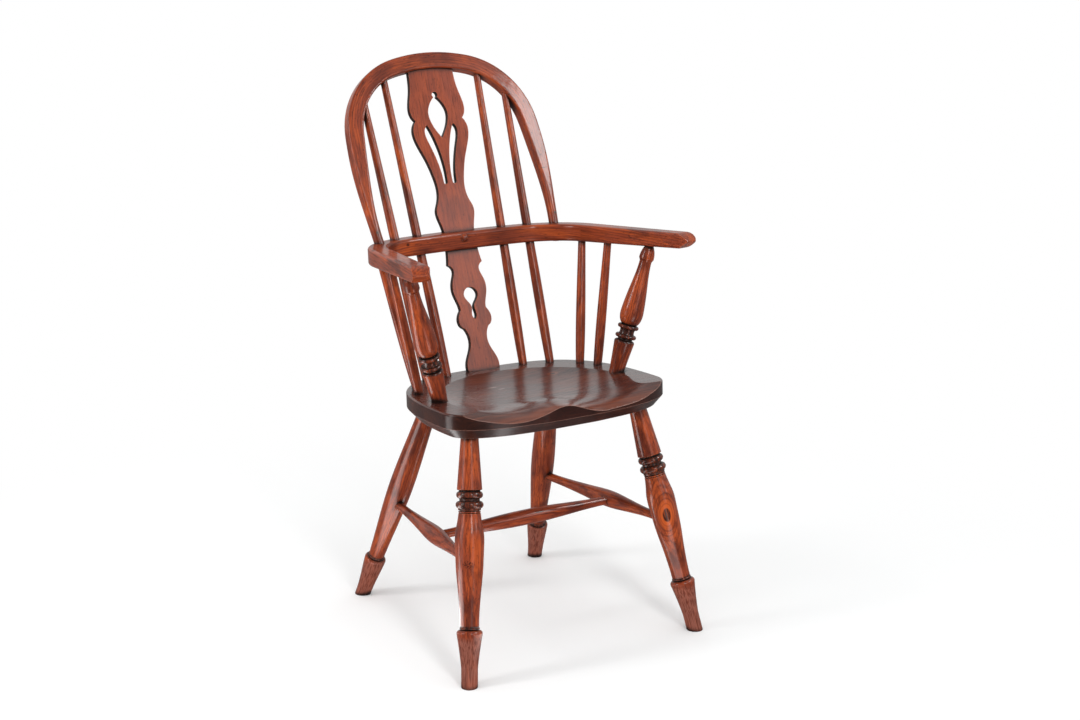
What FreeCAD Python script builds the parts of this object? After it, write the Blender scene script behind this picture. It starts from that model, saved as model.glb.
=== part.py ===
import FreeCAD
import Part
import math
import os

from FreeCAD import Placement, Rotation, Vector

# Windsor armchair with a low hooped back, a pierced splat and turned legs.
# Millimetres, +Z up, the sitter faces -Y and X runs across the chair.
# Every right hand piece is drawn once and its left hand twin is its mirror image.
# Joints are real ones: tenons in sockets, with joint_clearance left all round.

# Joints
joint_clearance = 0.15
socket_end_room = 0.6
tenon_root = 20.0
mortise_mouth = 40.0

# Seat board, drawn flat with its top face at height zero, then tilted back
seat_height = 432.0
seat_tilt = 2.26
seat_thickness = 42.0
seat_half_width = 213.0
seat_widest_y = -95.0
seat_back_reach = 241.0
seat_front_reach = 81.0
seat_back_squareness = 3.05
seat_front_squareness = 2.4
seat_outline_turns = (90, 76, 60, 45, 30, 17, 7, 0, -7, -17, -30, -45, -62, -76, -90)
seat_bevel_height = 17.0
seat_bevel_inset = 15.0
seat_top_round = 3.5

# Saddle hollowed in the seat, and the pommel between the sitter's thighs
saddle_depth = 12.0
saddle_half_width = 172.0
saddle_middle_y = -60.0
saddle_back_reach = 165.0
saddle_front_narrowing = 15.0
saddle_front_narrowing_reach = 55.0
saddle_steepness = 3.0
saddle_outer_rise = 14.0
roll_start_y = -133.5
roll_slope = 0.55
roll_blend = 2.5
# The pommel was carved a little left of the middle
pommel_x = -24.0
pommel_drop = 2.0
pommel_half_width = 48.0
pommel_start_y = -70.0
pommel_rise_length = 55.0
saddle_grid = 18.0

# Legs: socket places on the underside, measured from the seat's middle and edge
front_leg_socket_y = -104.0
front_leg_socket_inset = 47.6
front_leg_splay_out = 61.1
front_leg_splay_forward = 96.0
back_leg_socket_y = 108.0
back_leg_socket_inset = 36.7
back_leg_splay_out = 63.0
back_leg_splay_back = 155.0
leg_tenon_diameter = 25.0
leg_tenon_depth = 20.0
leg_spare = 30.0

# Front leg turning
front_foot_diameter = 27.4
front_foot_straight = 30.0
front_collar_height = 86.5
front_collar_diameter = 43.1
front_ankle_height = 97.5
front_ankle_diameter = 31.6
front_belly_height = 222.0
front_belly_diameter = 47.4
front_neck_height = 281.0
front_neck_diameter = 36.6
front_groove_diameter = 33.0
front_bead_diameter = 45.6
front_lower_bead_height = 295.2
front_upper_bead_height = 311.0
front_bead_thickness = 12.0
front_cone_height = 319.6
front_cone_diameter = 41.5
front_leg_top_diameter = 28.4

# Back leg turning
back_foot_diameter = 27.6
back_foot_straight = 12.0
back_collar_height = 80.5
back_collar_diameter = 38.6
back_ankle_height = 91.0
back_ankle_diameter = 28.2
back_belly_height = 240.0
back_belly_diameter = 42.6
back_leg_top_diameter = 31.5

# Stretchers: heights on the legs, and the cross stretcher's place on the side ones
stretcher_front_height = 193.0
stretcher_back_height = 191.0
stretcher_end_diameter = 15.0
stretcher_stop = 6.0
stretcher_bare_end = 4.0
side_stretcher_belly = 30.0
side_stretcher_belly_place = 0.43
cross_stretcher_belly = 27.0
cross_stretcher_place = 0.425
cross_stretcher_stop = 3.5

# Arm bow: its top face at bow_level_y, its centre line below that face, and its plan
bow_height = 662.0
bow_level_y = 208.0
bow_tilt = 4.0
bow_axis_depth = 13.0
bow_back_thickness = 31.0
bow_tip_thickness = 26.0
bow_back_width = 38.0
bow_arm_width = 31.0
bow_back_y = 213.5
bow_back_radius = 650.0
bow_corner_radius = 113.5
bow_tip_half_span = 258.0
bow_tip_y = -125.2
bow_arm_flare = 11.9
bow_edge_round = 5.0
# How the end of each arm is rounded: how far back, how far in, and how full the curve is
bow_nose_top = (20.0, 13.0, 3.0)
bow_nose_under = (16.0, 11.5, 0.8)
bow_nose_inside = (12.0, 9.0, 2.4)
bow_nose_outside = (3.0, 3.0, 0.8)
bow_sections = 20

# Back hoop: its feet stand in the bow, this far round from the middle
hoop_foot_on_bow = 183.5
hoop_rake = 26.1
hoop_reach = 333.5
hoop_half_width = 181.0
hoop_leg_radius = 870.0
hoop_shoulder_radius = 133.5
hoop_crown_radius = 303.5
hoop_crown_width = 29.0
hoop_depth = 22.0
hoop_tenon_diameter = 17.0
hoop_tenon_top = 22.0
hoop_full_width_from = 235.0
hoop_full_depth_from = 147.0
hoop_edge_round = 3.0
hoop_sections = 17

# Long spindles, from the seat through the bow into the hoop
inner_spindle_on_bow = 85.3
outer_spindle_on_bow = 134.8
spindle_spread_to_hoop = 9.5
spindle_seat_diameter = 15.0
spindle_belly_diameter = 17.0
spindle_belly_height = 60.0
spindle_bow_diameter = 16.0
spindle_hoop_diameter = 12.5
spindle_tenon_depth = 16.0
spindle_hoop_overrun = 2.0

# Short spindles under each arm: places round the bow, and on the seat
rear_short_spindle_on_bow = 238.0
rear_short_spindle_seat_y = 74.0
front_short_spindle_on_bow = 303.0
front_short_spindle_seat_y = 39.0
short_spindle_inset = 20.7
short_spindle_top_diameter = 13.5
bow_socket_depth = 15.0

# Turned arm supports
support_on_bow = 408.0
support_seat_y = -26.0
support_inset = 35.2
support_seat_diameter = 26.0
support_cup_height = 56.0
support_cup_diameter = 35.5
support_ring_diameter = 37.0
support_ring_half_thickness = 3.2
support_ring_neck_diameter = 25.5
support_lower_ring_height = 64.0
support_upper_ring_height = 81.0
support_belly_height = 103.0
support_belly_diameter = 40.0
support_groove_height = 199.0
support_groove_diameter = 21.0
support_shoulder_height = 204.0
support_shoulder_diameter = 26.0
support_top_diameter = 14.0

# Pierced splat in two boards, above and below the bow
splat_thickness = 9.5
splat_seat_tenon_half_width = 27.0
splat_seat_tenon_depth = 16.0
splat_bow_tenon_half_width = 28.0
upper_splat_bow_tenon_depth = 15.0
lower_splat_bow_tenon_depth = 8.0
splat_hoop_tenon_half_width = 36.0
splat_hoop_tenon_depth = 12.0
upper_splat_drawn_length = 333.5
lower_splat_drawn_length = 238.0
pierced_head_radius = 5.5
pierced_head_height = 270.0

# Domed peg through the bow's front face into the upper splat's tenon
peg_diameter = 8.0
peg_below_bow_top = 10.4
peg_length = 29.0
peg_head_diameter = 15.0
peg_head_rise = 5.0


# Small vector and shape helpers


def unit(vector):
    return vector * (1.0 / vector.Length)


def between(start, end, share):
    return start + (end - start) * share


def mirrored(shape):
    return shape.mirror(Vector(0, 0, 0), Vector(1, 0, 0))


def rod(start, end, diameter):
    along = end - start
    return Part.makeCylinder(diameter / 2, along.Length, start, along)


def spline(points):
    curve = Part.BSplineCurve()
    curve.interpolate(points)
    return curve.toShape()


def smooth_step(value):
    share = min(max(value, 0.0), 1.0)
    return share * share * (3 - 2 * share)


def turned(start, end, outline):
    """Turn an outline of (kind, [(distance, diameter), ...]) runs on the line start to end."""
    runs = []
    last = None
    for kind, stations in outline:
        points = [Vector(diameter / 2, 0, distance) for distance, diameter in stations]
        if last is not None:
            points.insert(0, last)
        last = points[-1]
        if kind == "line":
            runs += [Part.makeLine(a, b) for a, b in zip(points, points[1:])]
        elif kind == "bead":
            runs.append(Part.Arc(*points).toShape())
        else:
            runs.append(spline(points))
    first = runs[0].valueAt(runs[0].FirstParameter)
    foot = Vector(0, 0, first.z)
    head = Vector(0, 0, last.z)
    runs.insert(0, Part.makeLine(foot, first))
    runs.append(Part.makeLine(last, head))
    runs.append(Part.makeLine(head, foot))
    face = Part.Face(Part.Wire(runs))
    solid = face.revolve(Vector(0, 0, 0), Vector(0, 0, 1), 360)
    solid.Placement = Placement(start, Rotation(Vector(0, 0, 1), end - start))
    return Part.Solid(solid.Shells[0]) if solid.ShapeType != "Solid" else solid


def rounded_section(centre, across, through, width, depth, radius):
    """A closed rounded rectangle, width along across and depth along through."""
    half_width = width / 2
    half_depth = depth / 2
    corner = min(radius, 0.49 * min(width, depth))
    flat_width = half_width - corner
    flat_depth = half_depth - corner
    cut = corner * math.sqrt(0.5)
    edges = []
    corners = [(1, 1), (-1, 1), (-1, -1), (1, -1)]
    arcs = []
    for side, face in corners:
        a = (side * half_width, face * flat_depth)
        middle = (side * (flat_width + cut), face * (flat_depth + cut))
        b = (side * flat_width, face * half_depth)
        arcs.append([a, middle, b] if side * face > 0 else [b, middle, a])
    for index, arc in enumerate(arcs):
        places = [centre + across * u + through * v for u, v in arc]
        following = arcs[(index + 1) % len(arcs)][0]
        start_of_next = centre + across * following[0] + through * following[1]
        edges.append(Part.Arc(*places).toShape())
        edges.append(Part.makeLine(places[2], start_of_next))
    return Part.Wire(edges)


# Seat board


seat_place = Placement(Vector(0, 0, seat_height), Rotation(Vector(1, 0, 0), -seat_tilt))


def seat_outline_point(angle, inset):
    """Point of the D shaped plan: one superellipse behind the widest line, one before it."""
    behind = math.sin(angle) >= 0
    reach = seat_back_reach if behind else seat_front_reach
    power = 2.0 / (seat_back_squareness if behind else seat_front_squareness)
    across = abs(math.cos(angle)) ** power * math.copysign(1, math.cos(angle))
    along = abs(math.sin(angle)) ** power * math.copysign(1, math.sin(angle))
    return Vector((seat_half_width - inset) * across, seat_widest_y + (reach - inset) * along, 0)


def seat_half_width_at(y):
    reach = seat_back_reach if y > seat_widest_y else seat_front_reach
    squareness = seat_back_squareness if y > seat_widest_y else seat_front_squareness
    share = abs(y - seat_widest_y) / reach
    return seat_half_width * (1 - share ** squareness) ** (1 / squareness)


def seat_outline(inset, height):
    """Closed outline: a spline round the right half from back to front, and its mirror image."""
    points = []
    for turn in seat_outline_turns:
        point = seat_outline_point(math.radians(turn), inset)
        points.append(Vector(point.x, point.y, height))
    curve = Part.BSplineCurve()
    curve.interpolate(points, InitialTangent=Vector(1, 0, 0), FinalTangent=Vector(-1, 0, 0))
    half = curve.toShape()
    return Part.Wire([half, mirrored(half)])


def saddle_level(x, y):
    """Height of the hollowed surface: it only cuts the board where it is below zero."""
    if y > saddle_middle_y:
        rear = (y - saddle_middle_y) / saddle_back_reach
        spread = math.hypot(x / saddle_half_width, rear)
    else:
        narrowing = smooth_step((saddle_middle_y - y) / saddle_front_narrowing_reach)
        spread = abs(x) / (saddle_half_width - saddle_front_narrowing * narrowing)
    bowl = saddle_depth * (spread ** saddle_steepness - 1)
    bowl = saddle_outer_rise * math.tanh(bowl / saddle_outer_rise) if bowl > 0 else bowl
    roll = min(roll_slope * (y - roll_start_y), saddle_outer_rise)
    weight = math.exp(-bowl / roll_blend) + math.exp(-roll / roll_blend)
    level = -roll_blend * math.log(weight)
    rise = smooth_step((pommel_start_y - y) / pommel_rise_length)
    middle = -saddle_depth + (saddle_depth - pommel_drop) * rise
    front = smooth_step((pommel_start_y - y) / (0.5 * pommel_rise_length))
    nearness = math.exp(-(((x - pommel_x) / pommel_half_width) ** 2))
    return level + nearness * front * (middle - level)


def saddle_cutter():
    across = int(2 * seat_half_width / saddle_grid) + 3
    along = int((seat_back_reach + seat_front_reach) / saddle_grid) + 3
    rows = []
    for i in range(across):
        x = (i - (across - 1) / 2) * saddle_grid
        row = []
        for j in range(along):
            y = seat_widest_y - seat_front_reach + (j - 1) * saddle_grid
            row.append(Vector(x, y, saddle_level(x, y)))
        rows.append(row)
    surface = Part.BSplineSurface()
    surface.interpolate(rows)
    return surface.toShape().extrude(Vector(0, 0, 3 * seat_thickness))


def seat_blank():
    edge_height = seat_thickness - seat_bevel_height
    bottom = seat_outline(seat_bevel_inset, -seat_thickness)
    bevel_top = seat_outline(0, -edge_height)
    lower = Part.makeLoft([bottom, bevel_top], True, True)
    upper = Part.Face(bevel_top).extrude(Vector(0, 0, edge_height))
    rim = [edge for edge in upper.Edges if edge.BoundBox.ZMin > -0.5]
    upper = upper.makeFillet(seat_top_round, rim)
    return upper.fuse(lower).removeSplitter().cut(saddle_cutter())


def on_seat_top(x, y):
    return Vector(x, y, seat_height - y * math.tan(math.radians(seat_tilt)))


def on_seat_underside(x, y):
    drop = seat_thickness / math.cos(math.radians(seat_tilt))
    return on_seat_top(x, y) - Vector(0, 0, drop)


def seat_slab(low, high):
    """A broad slab in the seat's own plane, between two heights over its top face."""
    size = 4 * seat_half_width
    slab = Part.makeBox(size, size, high - low, Vector(-size / 2, -size / 2, low))
    slab.Placement = seat_place
    return slab


# Arm bow, a flat topped bent bar that rises towards its tips and is thicker at the back


bow_rise = math.tan(math.radians(bow_tilt))
bow_up = Vector(0, math.sin(math.radians(bow_tilt)), math.cos(math.radians(bow_tilt)))


def bow_plan():
    """Centres of the back and corner arcs, and where the straight arm begins."""
    flare = math.radians(bow_arm_flare)
    forward = Vector(math.sin(flare), -math.cos(flare), 0)
    inward = Vector(-math.cos(flare), -math.sin(flare), 0)
    back_centre = Vector(0, bow_back_y - bow_back_radius, 0)
    tip = Vector(bow_tip_half_span, bow_tip_y, 0)
    reach = tip + inward * bow_corner_radius - back_centre
    gap = bow_back_radius - bow_corner_radius
    run = reach.dot(forward)
    arm_length = run + math.sqrt(run ** 2 - reach.Length ** 2 + gap ** 2)
    corner_centre = back_centre + reach - forward * arm_length
    return back_centre, corner_centre, forward, inward, arm_length


def bow_station(distance):
    """Place and heading on the bow's centre line, that far round from the middle."""
    back_centre, corner_centre, forward, inward, arm_length = bow_plan()
    meeting = corner_centre - back_centre
    back_turn = math.atan2(meeting.x, meeting.y)
    back_length = bow_back_radius * back_turn
    corner_turn = math.atan2(-inward.x, -inward.y) - back_turn
    corner_length = bow_corner_radius * corner_turn
    if distance <= back_length:
        turn = distance / bow_back_radius
        out = Vector(math.sin(turn), math.cos(turn), 0)
        flat = back_centre + out * bow_back_radius
    elif distance <= back_length + corner_length:
        turn = back_turn + (distance - back_length) / bow_corner_radius
        out = Vector(math.sin(turn), math.cos(turn), 0)
        flat = corner_centre + out * bow_corner_radius
    else:
        out = inward * -1
        flat = corner_centre + out * bow_corner_radius
        flat = flat + forward * (distance - back_length - corner_length)
    heading = Vector(out.y, -out.x, 0)
    top = Vector(flat.x, flat.y, bow_height + (bow_level_y - flat.y) * bow_rise)
    place = top - bow_up * bow_axis_depth
    heading = unit(Vector(heading.x, heading.y, -heading.y * bow_rise))
    return place, heading


def bow_length():
    back_centre, corner_centre, forward, inward, arm_length = bow_plan()
    meeting = corner_centre - back_centre
    back_turn = math.atan2(meeting.x, meeting.y)
    corner_turn = math.atan2(-inward.x, -inward.y) - back_turn
    return bow_back_radius * back_turn + bow_corner_radius * corner_turn + arm_length


def bow_point(distance):
    return bow_station(distance)[0]


def bow_thickness_at(distance):
    share = (distance / bow_length()) ** 2
    return bow_back_thickness + (bow_tip_thickness - bow_back_thickness) * share


def bow_underside(distance):
    """Height of the underside over the centre line's plane, a negative number."""
    return bow_axis_depth - bow_thickness_at(distance)


def bow_section(distance, side):
    place, heading = bow_station(distance)
    share = smooth_step(distance / bow_length())
    width = bow_back_width + (bow_arm_width - bow_back_width) * share
    across = heading.cross(bow_up)
    thickness = bow_thickness_at(distance)
    place = place + bow_up * (bow_axis_depth - thickness / 2)
    if side < 0:
        place = Vector(-place.x, place.y, place.z)
        across = Vector(across.x, -across.y, -across.z)
    return rounded_section(place, across, bow_up, width, thickness, bow_edge_round)


def bow_face(height):
    """A broad slab that starts at that height over the bow's centre line."""
    size = 4 * bow_tip_half_span
    low = height - bow_axis_depth
    slab = Part.makeBox(size, size, size, Vector(-size / 2, -size / 2, low))
    base = Vector(0, bow_level_y, bow_height)
    slab.Placement = Placement(base, Rotation(Vector(1, 0, 0), -bow_tilt))
    return slab


def nose_cutter(corner, heading, aside, along, rounding):
    """A block that takes one edge off the end of an arm and leaves a full curve."""
    back, inset, fullness = rounding
    start = corner - heading * back
    end = corner - aside * inset
    middle = (start + end) / 2 + unit(heading * inset + aside * back) * fullness
    beyond = end + heading * back
    outside = start + (beyond - end) * 2 + aside * (2 * inset)
    clear = start + aside * (2 * inset)
    curve = Part.Arc(start, middle, end).toShape()
    rest = Part.makePolygon([end, beyond, outside, clear, start])
    profile = Part.Wire([curve] + rest.Edges)
    profile.translate(along * -bow_back_width)
    return Part.Face(profile).extrude(along * (2 * bow_back_width))


def bow_nose_cutters():
    """One cutter for each of the four edges round the end of the right arm."""
    tip, heading = bow_station(bow_length())
    centre = tip + bow_up * (bow_axis_depth - bow_tip_thickness / 2)
    across = heading.cross(bow_up)
    over = bow_up * (bow_tip_thickness / 2)
    beside = across * (bow_arm_width / 2)
    return [
        nose_cutter(centre + over, heading, bow_up, across, bow_nose_top),
        nose_cutter(centre - over, heading, bow_up * -1, across, bow_nose_under),
        nose_cutter(centre + beside, heading, across, bow_up, bow_nose_inside),
        nose_cutter(centre - beside, heading, across * -1, bow_up, bow_nose_outside),
    ]


def bow_blank():
    length = bow_length()
    sections = []
    for index in range(-bow_sections, bow_sections + 1):
        distance = length * abs(index) / bow_sections
        sections.append(bow_section(distance, 1 if index >= 0 else -1))
    bar = Part.makeLoft(sections, True, False)
    for cutter in bow_nose_cutters():
        bar = bar.cut(cutter).cut(mirrored(cutter))
    return bar


# Back hoop, a flat arch in a plane that leans back from the bow


hoop_foot = bow_point(hoop_foot_on_bow)
hoop_rise = Vector(0, math.sin(math.radians(hoop_rake)), math.cos(math.radians(hoop_rake)))
hoop_face = Vector(0, -math.cos(math.radians(hoop_rake)), math.sin(math.radians(hoop_rake)))


def in_hoop_plane(u, v):
    return Vector(u, hoop_foot.y, hoop_foot.z) + hoop_rise * v


def hoop_plan():
    """Centres of the leg, shoulder and crown arcs, each tangent to the next."""
    leg_x = hoop_half_width - hoop_leg_radius
    leg_v = math.sqrt(hoop_leg_radius ** 2 - (hoop_foot.x - leg_x) ** 2)
    crown_v = hoop_reach - hoop_crown_radius
    leg_gap = hoop_leg_radius - hoop_shoulder_radius
    crown_gap = hoop_crown_radius - hoop_shoulder_radius
    span = math.hypot(leg_x, leg_v - crown_v)
    along = (span ** 2 + leg_gap ** 2 - crown_gap ** 2) / (2 * span)
    aside = math.sqrt(leg_gap ** 2 - along ** 2)
    toward_u = -leg_x / span
    toward_v = (crown_v - leg_v) / span
    shoulder_u = leg_x + toward_u * along - toward_v * aside
    shoulder_v = leg_v + toward_v * along + toward_u * aside
    return (leg_x, leg_v), (shoulder_u, shoulder_v), (0.0, crown_v)


def hoop_turns():
    leg, shoulder, crown = hoop_plan()
    start = math.atan2(-leg[1], hoop_foot.x - leg[0])
    knee = math.atan2(shoulder[1] - leg[1], shoulder[0] - leg[0])
    brow = math.atan2(shoulder[1] - crown[1], shoulder[0] - crown[0])
    return start, knee, brow


def hoop_half_length():
    start, knee, brow = hoop_turns()
    leg = hoop_leg_radius * (knee - start)
    shoulder = hoop_shoulder_radius * (brow - knee)
    return leg + shoulder + hoop_crown_radius * (math.pi / 2 - brow)


def hoop_station(distance):
    """Place (u, v) and outward heading on the right half, that far up from the foot."""
    leg, shoulder, crown = hoop_plan()
    start, knee, brow = hoop_turns()
    leg_length = hoop_leg_radius * (knee - start)
    shoulder_length = hoop_shoulder_radius * (brow - knee)
    if distance <= leg_length:
        centre = leg
        radius = hoop_leg_radius
        turn = start + distance / radius
    elif distance <= leg_length + shoulder_length:
        centre = shoulder
        radius = hoop_shoulder_radius
        turn = knee + (distance - leg_length) / radius
    else:
        centre = crown
        radius = hoop_crown_radius
        turn = brow + (distance - leg_length - shoulder_length) / radius
    out_u = math.cos(turn)
    out_v = math.sin(turn)
    return centre[0] + radius * out_u, centre[1] + radius * out_v, out_u, out_v


def hoop_section(distance, side, extra):
    u, v, out_u, out_v = hoop_station(distance)
    place = in_hoop_plane(side * u, v)
    outward = Vector(side * out_u, 0, 0) + hoop_rise * out_v
    share = smooth_step((distance - hoop_tenon_top) / (hoop_full_width_from - hoop_tenon_top))
    width = hoop_tenon_diameter + (hoop_crown_width - hoop_tenon_diameter) * share
    deepening = smooth_step((distance - hoop_tenon_top) / hoop_full_depth_from)
    depth = hoop_tenon_diameter + (hoop_depth - hoop_tenon_diameter) * deepening
    radius = hoop_tenon_diameter / 2 + (hoop_edge_round - hoop_tenon_diameter / 2) * deepening
    through = hoop_face if side > 0 else hoop_face * -1
    return rounded_section(place, outward, through, width + extra, depth + extra, radius)


def hoop_arch(extra):
    length = hoop_half_length()
    below = -bow_back_thickness
    sections = []
    for index in range(-hoop_sections, hoop_sections + 1):
        distance = length - (length - below) * abs(index) / hoop_sections
        sections.append(hoop_section(distance, 1 if index >= 0 else -1, extra))
    return Part.makeLoft(sections, True, False)


def hoop_centre_at(x):
    """Centre line point of the hoop at that distance from the middle of the chair."""
    low = hoop_half_length() - x - hoop_shoulder_radius
    high = hoop_half_length()
    for _ in range(40):
        middle = (low + high) / 2
        if hoop_station(middle)[0] > x:
            low = middle
        else:
            high = middle
    u, v, out_u, out_v = hoop_station(high)
    return in_hoop_plane(u, v)


# Straight lines that the turned pieces and the splat follow


def down_to_seat(upper, lower):
    """Where the line through two points meets the seat's top face."""
    along = lower - upper
    slope = math.tan(math.radians(seat_tilt))
    share = (seat_height - upper.y * slope - upper.z) / (along.z + along.y * slope)
    return upper + along * share


def on_leg(top, foot, height):
    return between(foot, top, height / top.z)


front_leg_x = seat_half_width_at(front_leg_socket_y) - front_leg_socket_inset
front_leg_top = on_seat_underside(front_leg_x, front_leg_socket_y)
front_foot = Vector(
    front_leg_x + front_leg_splay_out, front_leg_socket_y - front_leg_splay_forward, 0
)
back_leg_x = seat_half_width_at(back_leg_socket_y) - back_leg_socket_inset
back_leg_top = on_seat_underside(back_leg_x, back_leg_socket_y)
back_foot = Vector(back_leg_x + back_leg_splay_out, back_leg_socket_y + back_leg_splay_back, 0)

stretcher_front = on_leg(front_leg_top, front_foot, stretcher_front_height)
stretcher_back = on_leg(back_leg_top, back_foot, stretcher_back_height)
cross_right = between(stretcher_front, stretcher_back, cross_stretcher_place)
cross_left = Vector(-cross_right.x, cross_right.y, cross_right.z)


def long_spindle_line(on_bow):
    at_bow = bow_point(on_bow)
    at_hoop = hoop_centre_at(at_bow.x + spindle_spread_to_hoop)
    return down_to_seat(at_hoop, at_bow), at_bow, at_hoop


def seat_point_inset(y, inset):
    return on_seat_top(seat_half_width_at(y) - inset, y)


def standing_line(at_seat, on_bow):
    """Seat place, underside of the bow, and the end of the tenon inside the bow."""
    at_bow = bow_point(on_bow)
    along = unit(at_bow - at_seat)
    at_underside = at_bow + along * (bow_underside(on_bow) / along.dot(bow_up))
    return at_seat, at_underside, at_underside + along * bow_socket_depth


rear_short_seat = seat_point_inset(rear_short_spindle_seat_y, short_spindle_inset)
rear_short_line = standing_line(rear_short_seat, rear_short_spindle_on_bow)
front_short_seat = seat_point_inset(front_short_spindle_seat_y, short_spindle_inset)
front_short_line = standing_line(front_short_seat, front_short_spindle_on_bow)
support_seat = seat_point_inset(support_seat_y, support_inset)
support_line = standing_line(support_seat, support_on_bow)

splat_bow = bow_point(0)
splat_hoop = in_hoop_plane(0, hoop_reach)
splat_seat = down_to_seat(splat_hoop, splat_bow)
splat_up = unit(splat_hoop - splat_bow)
splat_front = Vector(1, 0, 0).cross(splat_up)


def socket(start, end, diameter):
    """Bore for a tenon of that diameter, from well outside to just past its end."""
    room = unit(end - start) * socket_end_room
    return rod(start, end + room, diameter + 2 * joint_clearance)


# Turned legs


def front_leg_outline(length):
    half_bead = front_bead_thickness / 2
    low = front_lower_bead_height
    high = front_upper_bead_height
    neck = front_neck_diameter
    groove = front_groove_diameter
    cone = front_cone_height
    collar = front_collar_height
    ankle = front_ankle_diameter
    return [
        ("line", [(-leg_spare, front_foot_diameter), (front_foot_straight, front_foot_diameter)]),
        ("curve", [(56, 33.4), (collar, front_collar_diameter)]),
        ("bead", [(collar + 4.1, front_collar_diameter - 3.8), (collar + 5.8, ankle)]),
        ("line", [(collar + 6.6, ankle - 3)]),
        ("bead", [(collar + 8.2, ankle + 2), (collar + 9.8, ankle - 0.8)]),
        ("line", [(front_ankle_height, ankle)]),
        (
            "curve",
            [
                (front_ankle_height + 28, ankle + 1.9),
                (front_ankle_height + 58, 38.2),
                (front_ankle_height + 89, 44.2),
                (front_belly_height, front_belly_diameter),
                (front_belly_height + 27, 47.0),
                (front_neck_height - 18, 42.0),
                (front_neck_height, neck),
            ],
        ),
        ("line", [(front_neck_height + 0.9, groove)]),
        ("bead", [(front_neck_height + 2.4, neck), (front_neck_height + 3.9, groove)]),
        ("line", [(front_neck_height + 5, groove), (front_neck_height + 5.2, neck + 0.8)]),
        ("line", [(low - half_bead, neck + 0.8)]),
        ("bead", [(low, front_bead_diameter), (low + half_bead, groove + 0.5)]),
        ("line", [(high - half_bead, groove + 0.5)]),
        ("bead", [(high, front_bead_diameter - 1.8), (high + half_bead, groove + 1.5)]),
        ("line", [(cone - 1.6, groove + 1.5), (cone, front_cone_diameter)]),
        ("line", [(length, front_leg_top_diameter), (length + leg_spare, front_leg_top_diameter)]),
    ]


def back_leg_outline(length):
    collar = back_collar_height
    ankle = back_ankle_diameter
    return [
        ("line", [(-leg_spare, back_foot_diameter), (back_foot_straight, back_foot_diameter)]),
        ("curve", [(35, 30.4), (56, 34.4), (collar, back_collar_diameter)]),
        ("bead", [(collar + 3.8, back_collar_diameter - 3.2), (collar + 5.3, ankle)]),
        ("line", [(collar + 6.1, ankle - 2.5)]),
        ("bead", [(collar + 7.8, ankle + 1.8), (collar + 9.5, ankle - 0.8)]),
        ("line", [(back_ankle_height, ankle)]),
        (
            "curve",
            [
                (back_ankle_height + 40, 32.2),
                (back_ankle_height + 100, 39.4),
                (back_belly_height, back_belly_diameter),
                (back_belly_height + 80, 38.8),
                (length, back_leg_top_diameter),
            ],
        ),
        ("line", [(length + leg_spare, back_leg_top_diameter)]),
    ]


def leg(foot, top, outline):
    """Turned leg cut level at the floor, with a round tenon for the seat."""
    along = unit(top - foot)
    body = turned(foot, top, outline((top - foot).Length))
    body = body.cut(seat_slab(-seat_thickness - joint_clearance, seat_thickness * 3))
    tenon = rod(top - along * tenon_root, top + along * leg_tenon_depth, leg_tenon_diameter)
    wood = body.fuse(tenon).removeSplitter()
    size = 4 * seat_half_width
    under_foot = Vector(foot.x - size / 2, foot.y - size / 2, -size)
    return wood.cut(Part.makeBox(size, size, size, under_foot))


def leg_socket(foot, top):
    along = unit(top - foot)
    return socket(top - along * tenon_root, top + along * leg_tenon_depth, leg_tenon_diameter)


# Stretchers


def side_stretcher():
    along = unit(stretcher_back - stretcher_front)
    length = (stretcher_back - stretcher_front).Length
    end = stretcher_end_diameter
    front_face = front_belly_diameter / 2 + stretcher_bare_end
    back_face = length - back_belly_diameter / 2 - stretcher_bare_end
    belly = side_stretcher_belly
    middle = length * side_stretcher_belly_place
    outline = [
        ("line", [(stretcher_stop, end), (front_face, end)]),
        (
            "curve",
            [
                (between(front_face, middle, 0.35), end + 2.6),
                (between(front_face, middle, 0.72), belly - 4.4),
                (middle, belly),
                (between(middle, back_face, 0.26), belly - 4.2),
                (between(middle, back_face, 0.62), end + 3.0),
                (back_face, end),
            ],
        ),
        ("line", [(length - stretcher_stop, end)]),
    ]
    return turned(stretcher_front, stretcher_front + along * length, outline)


def cross_stretcher():
    length = (cross_right - cross_left).Length
    end = stretcher_end_diameter
    face = side_stretcher_belly / 2 + stretcher_bare_end
    belly = cross_stretcher_belly
    outline = [
        ("line", [(cross_stretcher_stop, end), (face, end)]),
        (
            "curve",
            [
                (length * 0.22, end + 4.6),
                (length * 0.37, belly - 1.6),
                (length * 0.5, belly),
                (length * 0.63, belly - 1.6),
                (length * 0.78, end + 4.6),
                (length - face, end),
            ],
        ),
        ("line", [(length - cross_stretcher_stop, end)]),
    ]
    return turned(cross_left, cross_right, outline)


def stretcher_sockets():
    """Bores in the front leg, in the back leg and in the side stretcher."""
    along = unit(stretcher_back - stretcher_front)
    in_front = stretcher_front + along * stretcher_stop
    in_back = stretcher_back - along * stretcher_stop
    middle = between(stretcher_front, stretcher_back, 0.5)
    in_side = cross_right - Vector(cross_stretcher_stop, 0, 0)
    end = stretcher_end_diameter
    return (
        socket(middle, in_front, end),
        socket(middle, in_back, end),
        socket(between(cross_left, cross_right, 0.8), in_side, end),
    )


# Spindles and arm supports


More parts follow.
